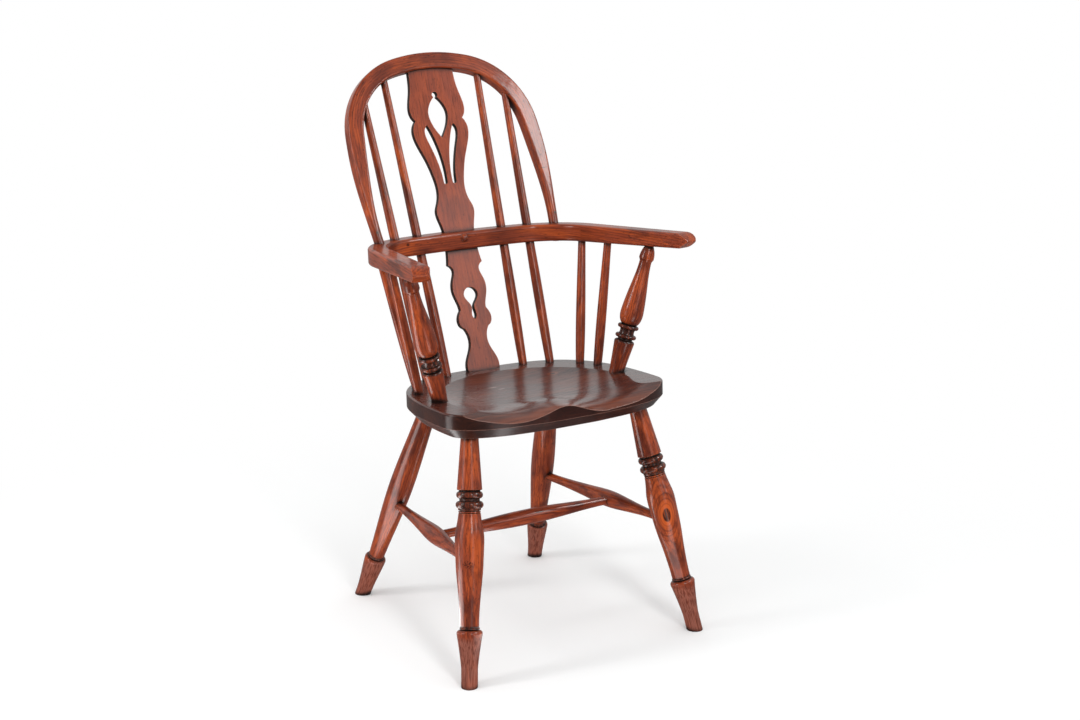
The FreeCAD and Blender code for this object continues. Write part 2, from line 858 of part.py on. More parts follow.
def long_spindle(on_bow):
    at_seat, at_bow, at_hoop = long_spindle_line(on_bow)
    along = unit(at_hoop - at_seat)
    bow_distance = (at_bow - at_seat).Length
    length = (at_hoop - at_seat).Length
    clear_of_bow = bow_back_thickness
    outline = [
        ("line", [(-spindle_tenon_depth, spindle_seat_diameter), (2, spindle_seat_diameter)]),
        (
            "curve",
            [
                (spindle_belly_height, spindle_belly_diameter),
                (bow_distance - clear_of_bow, spindle_bow_diameter),
            ],
        ),
        ("line", [(bow_distance + clear_of_bow, spindle_bow_diameter)]),
        (
            "curve",
            [
                (between(bow_distance, length, 0.55), spindle_hoop_diameter + 1.4),
                (length - hoop_crown_width, spindle_hoop_diameter),
            ],
        ),
        ("line", [(length + spindle_hoop_overrun, spindle_hoop_diameter)]),
    ]
    return turned(at_seat, at_seat + along * length, outline)


def long_spindle_sockets(on_bow):
    """Bores in the seat, through the bow and in the hoop."""
    at_seat, at_bow, at_hoop = long_spindle_line(on_bow)
    along = unit(at_hoop - at_seat)
    reach = along * (2 * bow_back_thickness)
    through_bow = rod(at_bow - reach, at_bow + reach, spindle_bow_diameter + 2 * joint_clearance)
    in_seat = socket(at_seat + reach, at_seat - along * spindle_tenon_depth, spindle_seat_diameter)
    hoop_end = at_hoop + along * spindle_hoop_overrun
    return in_seat, through_bow, socket(at_hoop - reach, hoop_end, spindle_hoop_diameter)


def short_spindle(line):
    at_seat, at_underside, stop = line
    length = (stop - at_seat).Length
    shoulder = (at_underside - at_seat).Length - bow_edge_round
    outline = [
        ("line", [(-spindle_tenon_depth, spindle_seat_diameter), (2, spindle_seat_diameter)]),
        (
            "curve",
            [
                (spindle_belly_height, spindle_belly_diameter),
                (between(spindle_belly_height, shoulder, 0.55), spindle_belly_diameter - 1.4),
                (shoulder, short_spindle_top_diameter),
            ],
        ),
        ("line", [(length, short_spindle_top_diameter)]),
    ]
    return turned(at_seat, stop, outline)


def standing_sockets(line, seat_diameter, top_diameter):
    """Bores in the seat and in the bow for a piece that stands between them."""
    at_seat, at_underside, stop = line
    along = unit(stop - at_seat)
    reach = along * (2 * bow_back_thickness)
    seat_end = at_seat - along * spindle_tenon_depth
    return (
        socket(at_seat + reach, seat_end, seat_diameter),
        socket(stop - reach, stop, top_diameter),
    )


def arm_support():
    at_seat, at_underside, stop = support_line
    length = (stop - at_seat).Length
    underside = length - bow_socket_depth
    neck = support_ring_neck_diameter
    ring = support_ring_diameter
    half_ring = support_ring_half_thickness
    flank = ring - 4
    low = support_lower_ring_height
    high = support_upper_ring_height
    cup = support_cup_height
    seat_end = support_seat_diameter
    top = support_top_diameter
    outline = [
        ("line", [(-spindle_tenon_depth, seat_end), (2, seat_end)]),
        ("curve", [(28, 30.5), (cup - 3, support_cup_diameter)]),
        ("bead", [(cup - 0.6, support_cup_diameter - 1.6), (cup + 0.8, support_cup_diameter - 5)]),
        ("line", [(cup + 1.6, neck), (low - half_ring - 0.3, neck), (low - half_ring, flank)]),
        ("bead", [(low, ring), (low + half_ring, flank)]),
        ("line", [(low + half_ring + 0.3, neck + 1.5)]),
        ("bead", [(between(low, high, 0.5), neck - 0.5), (high - half_ring - 0.3, neck + 1.5)]),
        ("line", [(high - half_ring, flank)]),
        ("bead", [(high, ring), (high + half_ring, flank)]),
        ("line", [(high + half_ring + 0.3, neck)]),
        (
            "curve",
            [
                (support_belly_height - 10, 36.5),
                (support_belly_height, support_belly_diameter),
                (support_belly_height + 12, 39.0),
                (support_belly_height + 45, 31.5),
                (support_belly_height + 70, 24.5),
                (support_groove_height, support_groove_diameter),
            ],
        ),
        ("line", [(support_shoulder_height, support_shoulder_diameter)]),
        ("curve", [(between(support_shoulder_height, underside, 0.55), 22.8), (underside, top)]),
        ("line", [(length, top)]),
    ]
    return turned(at_seat, stop, outline)


# Splat boards, drawn in their own plane: u across, v up from the bow's middle


def splat_plane(u, v):
    return splat_bow + Vector(u, 0, 0) + splat_up * v


def splat_board(half_outline, piercings):
    """Board from the right half of its outline, given as smooth runs from the bottom up."""
    bottom = half_outline[0][0]
    top = half_outline[-1][-1]
    right = [[splat_plane(u, v) for u, v in run] for run in half_outline]
    left = [[splat_plane(-u, v) for u, v in reversed(run)] for run in reversed(half_outline)]
    edges = [Part.makeLine(splat_plane(-bottom[0], bottom[1]), splat_plane(*bottom))]
    edges += [spline(run) for run in right]
    edges.append(Part.makeLine(splat_plane(*top), splat_plane(-top[0], top[1])))
    edges += [spline(run) for run in left]
    board = Part.Face(Part.Wire(edges))
    thick = splat_front * splat_thickness
    board.translate(thick * -0.5)
    solid = board.extrude(thick)
    for piercing in piercings:
        piercing.translate(thick * -1)
        solid = solid.cut(piercing.extrude(thick * 2))
    return solid


def tenon_block(half_width, low, high, room):
    """Flat tenon of the splat between two heights, or its mortise where room is given."""
    half = half_width + room
    thickness = splat_thickness + 2 * room
    corners = [(-half, low), (half, low), (half, high), (-half, high), (-half, low)]
    outline = Part.makePolygon([splat_plane(u, v) for u, v in corners])
    outline.translate(splat_front * (-thickness / 2))
    return Part.Face(outline).extrude(splat_front * thickness)


def upper_scale():
    return (splat_hoop - splat_bow).Length / upper_splat_drawn_length


def upper_splat_runs():
    """Right edge: waist at the bow, neck, pierced bulb, cusp and shoulder under the hoop."""
    stretch = upper_scale()
    lower_run = [
        (31.5, 0),
        (33, 28),
        (37, 55),
        (31, 71),
        (27, 92),
        (31, 122),
        (39, 150),
        (51, 181),
        (55, 202),
        (47, 223.5),
    ]
    shoulder_run = [(47, 223.5), (54.5, 239), (53, 258), (47.5, 280), (45, 300), (44.5, 327)]
    return [[(u, v * stretch) for u, v in run] for run in (lower_run, shoulder_run)]


def upper_piercings():
    """A teardrop with a round head, and a long curved slot on each side of its point.

    Points are (half width in mm, height as a share of the round head's height).
    """
    head = pierced_head_height * upper_scale()
    neck = 0.62 * pierced_head_radius
    neck_height = head - math.sqrt(pierced_head_radius ** 2 - neck ** 2)
    drop = [(14.5, 0.93), (19, 0.881), (17.5, 0.822), (10, 0.756), (0, 0.698)]
    drop = [(neck, neck_height)] + [(u, share * head) for u, share in drop]
    right = spline([splat_plane(u, v) for u, v in drop])
    left = spline([splat_plane(-u, v) for u, v in reversed(drop)])
    crown = Part.Arc(
        splat_plane(-neck, neck_height),
        splat_plane(0, head + pierced_head_radius),
        splat_plane(neck, neck_height),
    ).toShape()
    holes = [Part.Face(Part.Wire([crown, right, left]))]
    outer = [(26, 0.796), (33, 0.744), (31.5, 0.704), (26, 0.641), (20, 0.567)]
    outer += [(15, 0.481), (13, 0.393)]
    inner = [(5, 0.393), (5, 0.481), (7, 0.556), (11, 0.635), (18, 0.726), (26, 0.796)]
    base = [(13, 0.393), (9, 0.378), (5, 0.393)]
    for side in (1, -1):
        runs = []
        for run in (outer, base, inner):
            runs.append([splat_plane(side * u, share * head) for u, share in run])
        edges = [spline(runs[0]), Part.Arc(*runs[1]).toShape(), spline(runs[2])]
        holes.append(Part.Face(Part.Wire(edges)))
    return holes


def upper_splat():
    board = splat_board(upper_splat_runs(), upper_piercings())
    board = board.cut(hoop_arch(2 * joint_clearance))
    board = board.common(bow_face(bow_axis_depth + joint_clearance))
    reach = (splat_hoop - splat_bow).Length
    under_hoop = reach - hoop_crown_width / 2
    below = bow_axis_depth - upper_splat_bow_tenon_depth
    foot = tenon_block(splat_bow_tenon_half_width, below, bow_axis_depth + tenon_root, 0)
    head_low = under_hoop - tenon_root
    head_top = under_hoop + splat_hoop_tenon_depth
    head = tenon_block(splat_hoop_tenon_half_width, head_low, head_top, 0)
    return board.fuse(foot).fuse(head).removeSplitter().cut(peg_hole())


def lower_scale():
    return (splat_bow - splat_seat).Length / lower_splat_drawn_length


def lower_splat_runs():
    """Right edge from the seat up: bell foot, waist, round ear, keyhole bulb and cusp."""
    stretch = lower_scale()
    bell = [(30, -243), (32, -231), (30, -221), (23.5, -207), (17.5, -190), (18, -176), (24.5, -162)]
    ear = [(24.5, -162), (30.5, -157), (33, -146.5), (30, -136), (25.5, -129)]
    bulb = [(25.5, -129), (27, -118), (32.5, -100), (33.5, -88), (30, -73), (25.5, -60), (34, -46)]
    rail = [(34, -46), (30.5, -20), (30.5, 0)]
    return [[(u, v * stretch) for u, v in run] for run in (bell, ear, bulb, rail)]


def keyhole():
    stretch = lower_scale()
    side = [(0, -89.5), (10, -93.5), (14, -103), (8, -115), (2.8, -125), (4.6, -139), (0, -148)]
    right = [splat_plane(u, v * stretch) for u, v in side]
    left = [splat_plane(-u, v * stretch) for u, v in reversed(side)]
    return Part.Face(Part.Wire([spline(right), spline(left)]))


def lower_splat():
    board = splat_board(lower_splat_runs(), [keyhole()])
    board = board.cut(bow_face(bow_underside(0) - joint_clearance))
    board = board.cut(seat_slab(-seat_thickness, joint_clearance))
    seat_v = -(splat_bow - splat_seat).Length
    foot_low = seat_v - splat_seat_tenon_depth
    foot = tenon_block(splat_seat_tenon_half_width, foot_low, seat_v + tenon_root, 0)
    head_low = bow_underside(0) - tenon_root
    head_top = bow_underside(0) + lower_splat_bow_tenon_depth
    head = tenon_block(splat_bow_tenon_half_width, head_low, head_top, 0)
    return board.fuse(foot).fuse(head).removeSplitter()


def splat_mortises():
    """Mortises in the seat, in the bow from below and above, and in the hoop."""
    room = joint_clearance
    reach = (splat_hoop - splat_bow).Length
    under_hoop = reach - hoop_crown_width / 2
    seat_v = -(splat_bow - splat_seat).Length
    seat_low = seat_v - splat_seat_tenon_depth - socket_end_room
    bow_low = bow_axis_depth - upper_splat_bow_tenon_depth - socket_end_room
    bow_high = lower_splat_bow_tenon_depth + bow_underside(0) + socket_end_room
    hoop_high = under_hoop + splat_hoop_tenon_depth + socket_end_room
    return (
        tenon_block(splat_seat_tenon_half_width, seat_low, seat_v + mortise_mouth, room),
        tenon_block(splat_bow_tenon_half_width, bow_low, mortise_mouth, room),
        tenon_block(splat_bow_tenon_half_width, -mortise_mouth, bow_high, room),
        tenon_block(splat_hoop_tenon_half_width, under_hoop - mortise_mouth, hoop_high, room),
    )


# Peg


def peg_line():
    """Peg axis: its start on the bow's front face and its direction into the bow."""
    level = bow_up * (bow_axis_depth - peg_below_bow_top)
    inward = Vector(0, bow_up.z, -bow_up.y)
    start = splat_bow + level - inward * (bow_back_width / 2)
    return start, inward


def splat_peg():
    start, inward = peg_line()
    body = rod(start - inward * 0.2, start + inward * peg_length, peg_diameter)
    dome_radius = (peg_head_diameter ** 2 / 4 + peg_head_rise ** 2) / (2 * peg_head_rise)
    dome_centre = start - inward * (joint_clearance - dome_radius + peg_head_rise)
    dome = Part.makeSphere(dome_radius, dome_centre)
    front = rod(
        start - inward * joint_clearance, start - inward * (2 * peg_head_rise), 4 * peg_head_diameter
    )
    return body.fuse(dome.common(front)).removeSplitter()


def peg_hole():
    start, inward = peg_line()
    return socket(start - inward * peg_diameter, start + inward * peg_length, peg_diameter)


# Pieces with all their sockets cut


def cut_all(solid, tools):
    for tool in tools:
        solid = solid.cut(tool)
    return solid


def both_sides(tools):
    return list(tools) + [mirrored(tool) for tool in tools]


def build_pieces():
    long_lines = {"inner": inner_spindle_on_bow, "outer": outer_spindle_on_bow}
    seat_tools = [leg_socket(front_foot, front_leg_top), leg_socket(back_foot, back_leg_top)]
    bow_tools = []
    hoop_tools = []
    for on_bow in long_lines.values():
        in_seat, through_bow, in_hoop = long_spindle_sockets(on_bow)
        seat_tools.append(in_seat)
        bow_tools.append(through_bow)
        hoop_tools.append(in_hoop)
    standing = [
        (rear_short_line, spindle_seat_diameter, short_spindle_top_diameter),
        (front_short_line, spindle_seat_diameter, short_spindle_top_diameter),
        (support_line, support_seat_diameter, support_top_diameter),
    ]
    for piece in standing:
        in_seat, in_bow = standing_sockets(*piece)
        seat_tools.append(in_seat)
        bow_tools.append(in_bow)
    seat_mortise, bow_top_mortise, bow_low_mortise, hoop_mortise = splat_mortises()

    seat = seat_blank()
    seat.Placement = seat_place
    seat = cut_all(seat, both_sides(seat_tools) + [seat_mortise])

    hoop = hoop_arch(0)
    hoop = hoop.common(bow_face(bow_underside(hoop_foot_on_bow)))
    hoop = cut_all(hoop, both_sides(hoop_tools) + [hoop_mortise])

    foot_heading = unit(in_hoop_plane(*hoop_station(bow_back_thickness)[:2]) - hoop_foot)
    foot_reach = foot_heading * (2 * bow_back_thickness)
    hoop_bore = hoop_tenon_diameter + 4 * joint_clearance
    bow_tools.append(rod(hoop_foot - foot_reach, hoop_foot + foot_reach, hoop_bore))
    bow = cut_all(bow_blank(), both_sides(bow_tools))
    bow = cut_all(bow, [bow_top_mortise, bow_low_mortise, peg_hole()])

    in_front_leg, in_back_leg, in_side_stretcher = stretcher_sockets()
    front_leg = leg(front_foot, front_leg_top, front_leg_outline).cut(in_front_leg)
    back_leg = leg(back_foot, back_leg_top, back_leg_outline).cut(in_back_leg)
    right = {
        "front_leg": front_leg,
        "back_leg": back_leg,
        "side_stretcher": side_stretcher().cut(in_side_stretcher),
        "arm_support": arm_support(),
        "rear_arm_spindle": short_spindle(rear_short_line),
        "front_arm_spindle": short_spindle(front_short_line),
    }
    for name, on_bow in long_lines.items():
        right[name + "_back_spindle"] = long_spindle(on_bow)

    pieces = {
        "seat": seat,
        "arm_bow": bow,
        "back_hoop": hoop,
        "upper_splat": upper_splat(),
        "lower_splat": lower_splat(),
        "splat_peg": splat_peg(),
        "cross_stretcher": cross_stretcher(),
    }
    for name, shape in right.items():
        pieces[name + "_right"] = shape
        pieces[name + "_left"] = mirrored(shape)
    return pieces


def centred(pieces):
    """Move the chair so that the middle of its outer box is over the origin."""
    box = Part.makeCompound(list(pieces.values())).optimalBoundingBox()
    shift = Vector(-(box.XMin + box.XMax) / 2, -(box.YMin + box.YMax) / 2, -box.ZMin)
    for shape in pieces.values():
        shape.translate(shift)
    print("moved by", tuple(round(value, 4) for value in shift))
    print("size", round(box.XLength, 2), round(box.YLength, 2), round(box.ZLength, 2))
    return pieces


def main():
    os.makedirs("parts", exist_ok=True)
    for name, shape in sorted(centred(build_pieces()).items()):
        count = len(shape.Solids)
        sound = shape.isValid() and count == 1
        print(name, count, round(shape.Volume / 1000, 1), "ok" if sound else "NOT SOUND")
        shape.exportStep(os.path.join("parts", name + ".step"))


main()
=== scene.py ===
import math

import bmesh
import bpy
from mathutils import Matrix, Vector


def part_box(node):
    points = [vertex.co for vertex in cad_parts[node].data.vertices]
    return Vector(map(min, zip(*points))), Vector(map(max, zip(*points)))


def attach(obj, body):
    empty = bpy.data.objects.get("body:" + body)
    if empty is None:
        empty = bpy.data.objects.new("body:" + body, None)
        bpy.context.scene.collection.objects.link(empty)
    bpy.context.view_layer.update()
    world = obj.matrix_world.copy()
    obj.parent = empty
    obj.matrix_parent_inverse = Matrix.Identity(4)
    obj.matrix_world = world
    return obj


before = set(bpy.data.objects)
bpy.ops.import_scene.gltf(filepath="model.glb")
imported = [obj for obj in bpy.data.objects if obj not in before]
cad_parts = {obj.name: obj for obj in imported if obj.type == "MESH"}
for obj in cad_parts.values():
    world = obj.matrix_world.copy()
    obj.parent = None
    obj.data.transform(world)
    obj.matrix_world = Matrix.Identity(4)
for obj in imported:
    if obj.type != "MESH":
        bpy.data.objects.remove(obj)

bl_info = {
    "name": "Windsor chair",
    "version": (1, 0, 0),
    "blender": (4, 5, 0),
    "location": "View3D > Sidebar > Chair",
    "description": "Polished yew and elm, hoop pins, studio and camera for a windsor chair",
    "category": "Object",
}


def linear(code):
    """Turn an sRGB hex colour into linear RGBA."""
    channels = [int(code[start : start + 2], 16) / 255 for start in (1, 3, 5)]
    straight = [c / 12.92 if c <= 0.04045 else ((c + 0.055) / 1.055) ** 2.4 for c in channels]
    return (*straight, 1.0)


def colour(label, about, code):
    return bpy.props.FloatVectorProperty(
        name=label, description=about, subtype="COLOR", size=4, min=0, max=1, default=linear(code)
    )


def length(label, about, size):
    return bpy.props.FloatProperty(
        name=label, description=about, default=size, min=0, unit="LENGTH", precision=4
    )


def power(label, about, watts):
    return bpy.props.FloatProperty(
        name=label, description=about, default=watts, min=0, unit="POWER"
    )


def fraction(label, about, value):
    return bpy.props.FloatProperty(
        name=label, description=about, default=value, min=0, max=1, subtype="FACTOR"
    )


def amount(label, about, value):
    return bpy.props.FloatProperty(name=label, description=about, default=value, min=0)


# Sizes and colours that a user would change


class YewTones(bpy.types.PropertyGroup):
    light: colour("Light wood", "Sapwood streaks and rubbed edges", "#bd521d")
    mid: colour("Heartwood", "The main tone of the polished yew", "#8c3b20")
    dark: colour("Dark wood", "Late wood in each ring, and stained patches", "#4c1a0f")
    deep: colour("Flecks", "Short dark flecks and knots", "#240d08")
    # This dark colour is also the painted shade in grooves, corners and the splats' side faces
    grime_and_shade: colour("Grime", "Old wax and dirt in grooves and corners", "#1c1310")
    worn: colour("Scuffed wood", "Dull wood of the feet", "#93594a")
    # Also a painted highlight along every edge, over the real wear
    edge: colour("Edges", "Wood on rubbed edges", "#b4562c")
    # Real yew rings are 1 to 2 mm apart, too fine to show here, so they are drawn coarser
    ring: length("Ring width", "Distance from one growth ring to the next", 0.0042)
    streak: length("Streak width", "Width of the streaks that the grain leaves", 0.0034)
    # Real yew has grain of about 0.3 mm, too fine to show here, so it is drawn coarser
    fibre: length("Fibre width", "Width of the fine grain, drawn coarse enough to show", 0.0014)
    mottle: length("Mottle width", "Width of the lighter and darker patches", 0.026)
    polish: fraction("Polish", "How much clear polish lies on the wood", 0.46)
    blur: fraction("Blur", "How far the polish smears what it mirrors", 0.11)
    coarse: fraction("Coarseness", "How deep the grain lies in the surface", 0.3)


class ElmTones(bpy.types.PropertyGroup):
    # Also the painted light on the up-facing slope at the lip
    light: colour("Light wood", "Rubbed wood in the saddle and at the lip", "#74381f")
    mid: colour("Old elm", "The main tone of the seat", "#48211a")
    dark: colour("Dark wood", "Late wood in each ring, and stained patches", "#2a120d")
    # Also the painted shade on the seat's front, sides and underside
    deep: colour("Flecks", "Open pores and knots", "#180a07")
    # This dark colour is also the painted shade in corners and under the board
    grime_and_shade: colour("Grime", "Dirt round the tenons and below the board", "#100706")
    worn: colour("Scuffed wood", "Dull wood in scratches", "#b3978b")
    # Also a painted highlight along every edge, over the real wear
    edge: colour("Edges", "Wood on rubbed edges", "#a5786a")
    # Real elm rings are 3 to 6 mm apart, and are drawn a little coarser to show on the dark seat
    ring: length("Ring width", "Distance from one growth ring to the next", 0.008)
    streak: length("Streak width", "Width of the streaks that the grain leaves", 0.006)
    # Real elm has pores of about 0.3 mm, too fine to show here, so they are drawn coarser
    fibre: length("Fibre width", "Width of the open pores, drawn coarse enough to show", 0.0016)
    mottle: length("Mottle width", "Width of the lighter and darker patches", 0.05)
    polish: fraction("Polish", "How much clear polish lies on the wood", 1.0)
    blur: fraction("Blur", "How far the polish smears what it mirrors", 0.2)
    coarse: fraction("Coarseness", "How deep the grain lies in the surface", 0.9)


class PinSizes(bpy.types.PropertyGroup):
    diameter: length("Diameter", "Head of the pin that locks each foot of the hoop", 0.0048)
    rise: length("Rise", "How far the head stands out of the wood", 0.0009)
    metal: colour("Iron", "Rubbed iron of the pin", "#5e5049")


class StudioLight(bpy.types.PropertyGroup):
    right: power("Right lamp", "Power of the softbox at the right of the camera", 25)
    left: power("Left lamp", "Power of the softbox at the left of the chair", 19)
    card: power("High card", "Power of the high card that only the polish mirrors", 32)
    low_card: power("Low card", "Power of the low card that only the polish mirrors", 7)
    sky: amount("Sky", "Strength of the even light from all round", 0.92)
    dim: amount("Dim side", "What the polish mirrors on the camera's side of the studio", 0.1)
    backdrop: amount("Backdrop", "What the polish mirrors behind the chair", 0.7)
    far_floor: amount("Far floor", "What the polish mirrors low down behind the chair", 0.3)
    right_panel: amount("Right panel", "Brightness of the panel that the polish mirrors there", 4)
    left_panel: amount("Left panel", "Brightness of the panel that the polish mirrors there", 7)
    paper: colour("Paper", "The white floor and backdrop", "#f8f9f9")


# Nodes


def add(tree, kind, inputs, out=0, **settings):
    """Add a node, set it, link or fill its inputs, and return one of its outputs."""
    node = tree.nodes.new("ShaderNode" + kind)
    for name, value in settings.items():
        setattr(node, name, value)
    for key, value in inputs.items():
        if isinstance(value, bpy.types.NodeSocket):
            tree.links.new(value, node.inputs[key])
        else:
            node.inputs[key].default_value = value
    return node.outputs[out] if node.outputs else node


def new_tree(name):
    material = bpy.data.materials.new(name)
    material.use_nodes = True
    material.node_tree.nodes.clear()
    return material, material.node_tree


def straight_grain(tree, middle, turn):
    """Coordinates of a straight piece: Z runs along its grain."""
    place = add(tree, "TexCoord", {}, out="Object")
    return add(
        tree,
        "Mapping",
        {"Vector": place, "Location": middle, "Rotation": turn},
        vector_type="TEXTURE",
    )


# Mean radius of both bent pieces, which makes an angle into a run along the grain
BENT_RADIUS = 0.3


def bent_grain(tree, origin, turn, bends, splits, middle):
    """Coordinates of a bar bent through three tangent arcs, mirrored about x = 0.

    X is the distance from the bar's centre line, Y goes through it, Z runs along the bend.
    """
    place = straight_grain(tree, origin, turn)
    x = add(tree, "SeparateXYZ", {0: place}, out="X")
    y = add(tree, "SeparateXYZ", {0: place}, out="Y")
    through = add(tree, "SeparateXYZ", {0: place}, out="Z")
    side = add(tree, "Math", {0: x}, operation="ABSOLUTE")
    flat = add(tree, "CombineXYZ", {"X": side, "Y": y})
    offsets = []
    for *centre, radius in bends:
        reach = add(
            tree, "VectorMath", {0: flat, 1: (*centre, 0)}, out="Value", operation="DISTANCE"
        )
        offsets.append(add(tree, "Math", {0: reach, 1: radius}, operation="SUBTRACT"))
    across = offsets[0]
    knee = (*bends[0][:2], 0)
    from_knee = add(tree, "VectorMath", {0: flat, 1: knee}, operation="SUBTRACT")
    for heading, other in zip(splits, offsets[1:]):
        beyond = add(
            tree, "VectorMath", {0: from_knee, 1: heading}, out="Value", operation="DOT_PRODUCT"
        )
        chosen = add(tree, "Math", {0: beyond, 1: 0.0}, operation="GREATER_THAN")
        across = add(tree, "Mix", {0: chosen, 2: across, 3: other})
    level = add(tree, "Math", {0: y, 1: middle}, operation="SUBTRACT")
    turned = add(tree, "Math", {0: x, 1: level}, operation="ARCTAN2")
    along = add(tree, "Math", {0: turned, 1: BENT_RADIUS}, operation="MULTIPLY")
    return add(tree, "CombineXYZ", {"X": across, "Y": through, "Z": along})


def grain_marks(tree, place, seed, width, run, detail=2.0, roughness=0.5, out="Fac"):
    """Noise whose marks are that wide across the grain and that long with it, in metres."""
    drawn = add(
        tree,
        "Mapping",
        {"Vector": place, "Location": (seed, -seed, seed), "Scale": (1, 1, width / run)},
    )
    return add(
        tree,
        "TexNoise",
        {"Vector": drawn, "Scale": 1 / width, "Detail": detail, "Roughness": roughness},
        out=out,
    )


def stain(tree, wood, where, start, full, strength, tone):
    """Lay a tone over the wood where a value passes from start to full."""
    share = add(
        tree,
        "MapRange",
        {"Value": where, "From Min": start, "From Max": full, "To Max": strength},
        interpolation_type="SMOOTHSTEP",
    )
    return add(tree, "Mix", {0: share, 6: wood, 7: tone}, out=2, data_type="RGBA")


def dull(tree, gloss, where, start, full, left):
    """Take the polish down to a share of itself where a value passes from start to full."""
    share = add(
        tree,
        "MapRange",
        {"Value": where, "From Min": start, "From Max": full, "To Min": 1.0, "To Max": left},
        interpolation_type="SMOOTHSTEP",
    )
    return add(tree, "Math", {0: gloss, 1: share}, operation="MULTIPLY")


# Sizes of wear, of the painted edge highlight and of the painted shade in corners, in metres
EDGE_RADIUS = 0.0016
SHADE_REACH = 0.012
FOOT_FADE = 0.012
BEAD_FADE = 0.003
GRAIN_DEPTH = 0.0003
SWELL_WIDTH = 0.012
SWELL_RUN = 0.035
SWELL_DEPTH = 0.0012
FLECK_WIDTH = 0.0026
FLECK_RUN = 0.0012
# How many times as long as wide the marks of the figure are
MOTTLE_RUN = 3
STREAK_RUN = 13
FIBRE_RUN = 22
# Stained patches and dark specks: width and run, as multiples of the mottle's and fibres' width
PATCH_SIZE = (1.6, 3)
SPECK_SIZE = (1.5, 5)
# How far the grain wanders from a straight line: width, run and sideways sway
DRIFT = (0.05, 0.2, 0.02)
# Moves each piece to wood of its own in the endless pattern
SEED_STEP = 0.731
# How much of the sway reaches the outline of a flaw, and how far a knot pushes the rings
FLAW_SWAY = 0.25
KNOT_PUSH = 9.0
POLISH_IOR = 1.5


def from_flaw(tree, coordinates, sway, centre, stretch):
    """Distance from a knot, crack or scratch, with each axis stretched and a little unsteady.

    A stretch under 1 draws the flaw out along that axis.
    """
    gap = add(tree, "VectorMath", {0: coordinates, 1: centre}, operation="SUBTRACT")
    gap = add(tree, "VectorMath", {0: gap, 1: stretch}, operation="MULTIPLY")
    loose = add(tree, "VectorMath", {0: sway, "Scale": FLAW_SWAY}, operation="SCALE")
    gap = add(tree, "VectorMath", {0: gap, 1: loose}, operation="ADD")
    return add(tree, "VectorMath", {0: gap}, out="Value", operation="LENGTH")


def growth_rings(tree, ringed, width, flaws, reaches):
    """Rings round the pith, pushed aside by each knot."""
    bulge = 0.0
    for (kind, _, _, radius), reach in zip(flaws, reaches):
        if kind == "knot":
            push = add(
                tree,
                "MapRange",
                {"Value": reach, "From Min": 5 * radius, "From Max": radius, "To Max": KNOT_PUSH},
                interpolation_type="SMOOTHSTEP",
            )
            bulge = add(tree, "Math", {0: bulge, 1: push}, operation="ADD")
    # The wave node repeats twenty times in each turn, so one ring is as wide as given
    return add(
        tree,
        "TexWave",
        {
            "Vector": ringed,
            "Scale": math.tau / (20 * width),
            "Distortion": 2.5,
            "Detail": 3.0,
            "Detail Scale": 1.4,
            "Phase Offset": bulge,
        },
        out="Fac",
        wave_type="RINGS",
        rings_direction="Z",
    )


def draw_knot(tree, wood, tones, fibres, radius, reach):
    """A bright halo, fine rings that fade outwards, and a dark, broken core."""
    wood = stain(tree, wood, reach, 1.7 * radius, 0.75 * radius, 0.9, tones.light)
    turns = add(tree, "Math", {0: reach, 1: 2.2 * math.tau / radius}, operation="MULTIPLY")
    turns = add(tree, "Math", {0: turns}, operation="SINE")
    for start, full in ((0.6, 1.3), (3.2, 1.8)):
        share = add(
            tree,
            "MapRange",
            {"Value": reach, "From Min": start * radius, "From Max": full * radius},
        )
        turns = add(tree, "Math", {0: turns, 1: share}, operation="MULTIPLY")
    wood = stain(tree, wood, turns, 0.1, 0.9, 0.5, tones.dark)
    core = stain(tree, tones.deep, fibres, 0.5, 0.62, 0.4, tones.light)
    return stain(tree, wood, reach, 0.7 * radius, 0.56 * radius, 0.93, core)


def draw_flecks(tree, wood, tones, coordinates, seed, radius, reach):
    """Short dark flecks across the grain, in a patch."""
    drawn = grain_marks(tree, coordinates, seed, FLECK_WIDTH, FLECK_RUN)
    share = add(
        tree, "MapRange", {"Value": reach, "From Min": radius, "From Max": 0.5 * radius}
    )
    drawn = add(tree, "Math", {0: drawn, 1: share}, operation="MULTIPLY")
    return stain(tree, wood, drawn, 0.48, 0.58, 0.85, tones.deep)


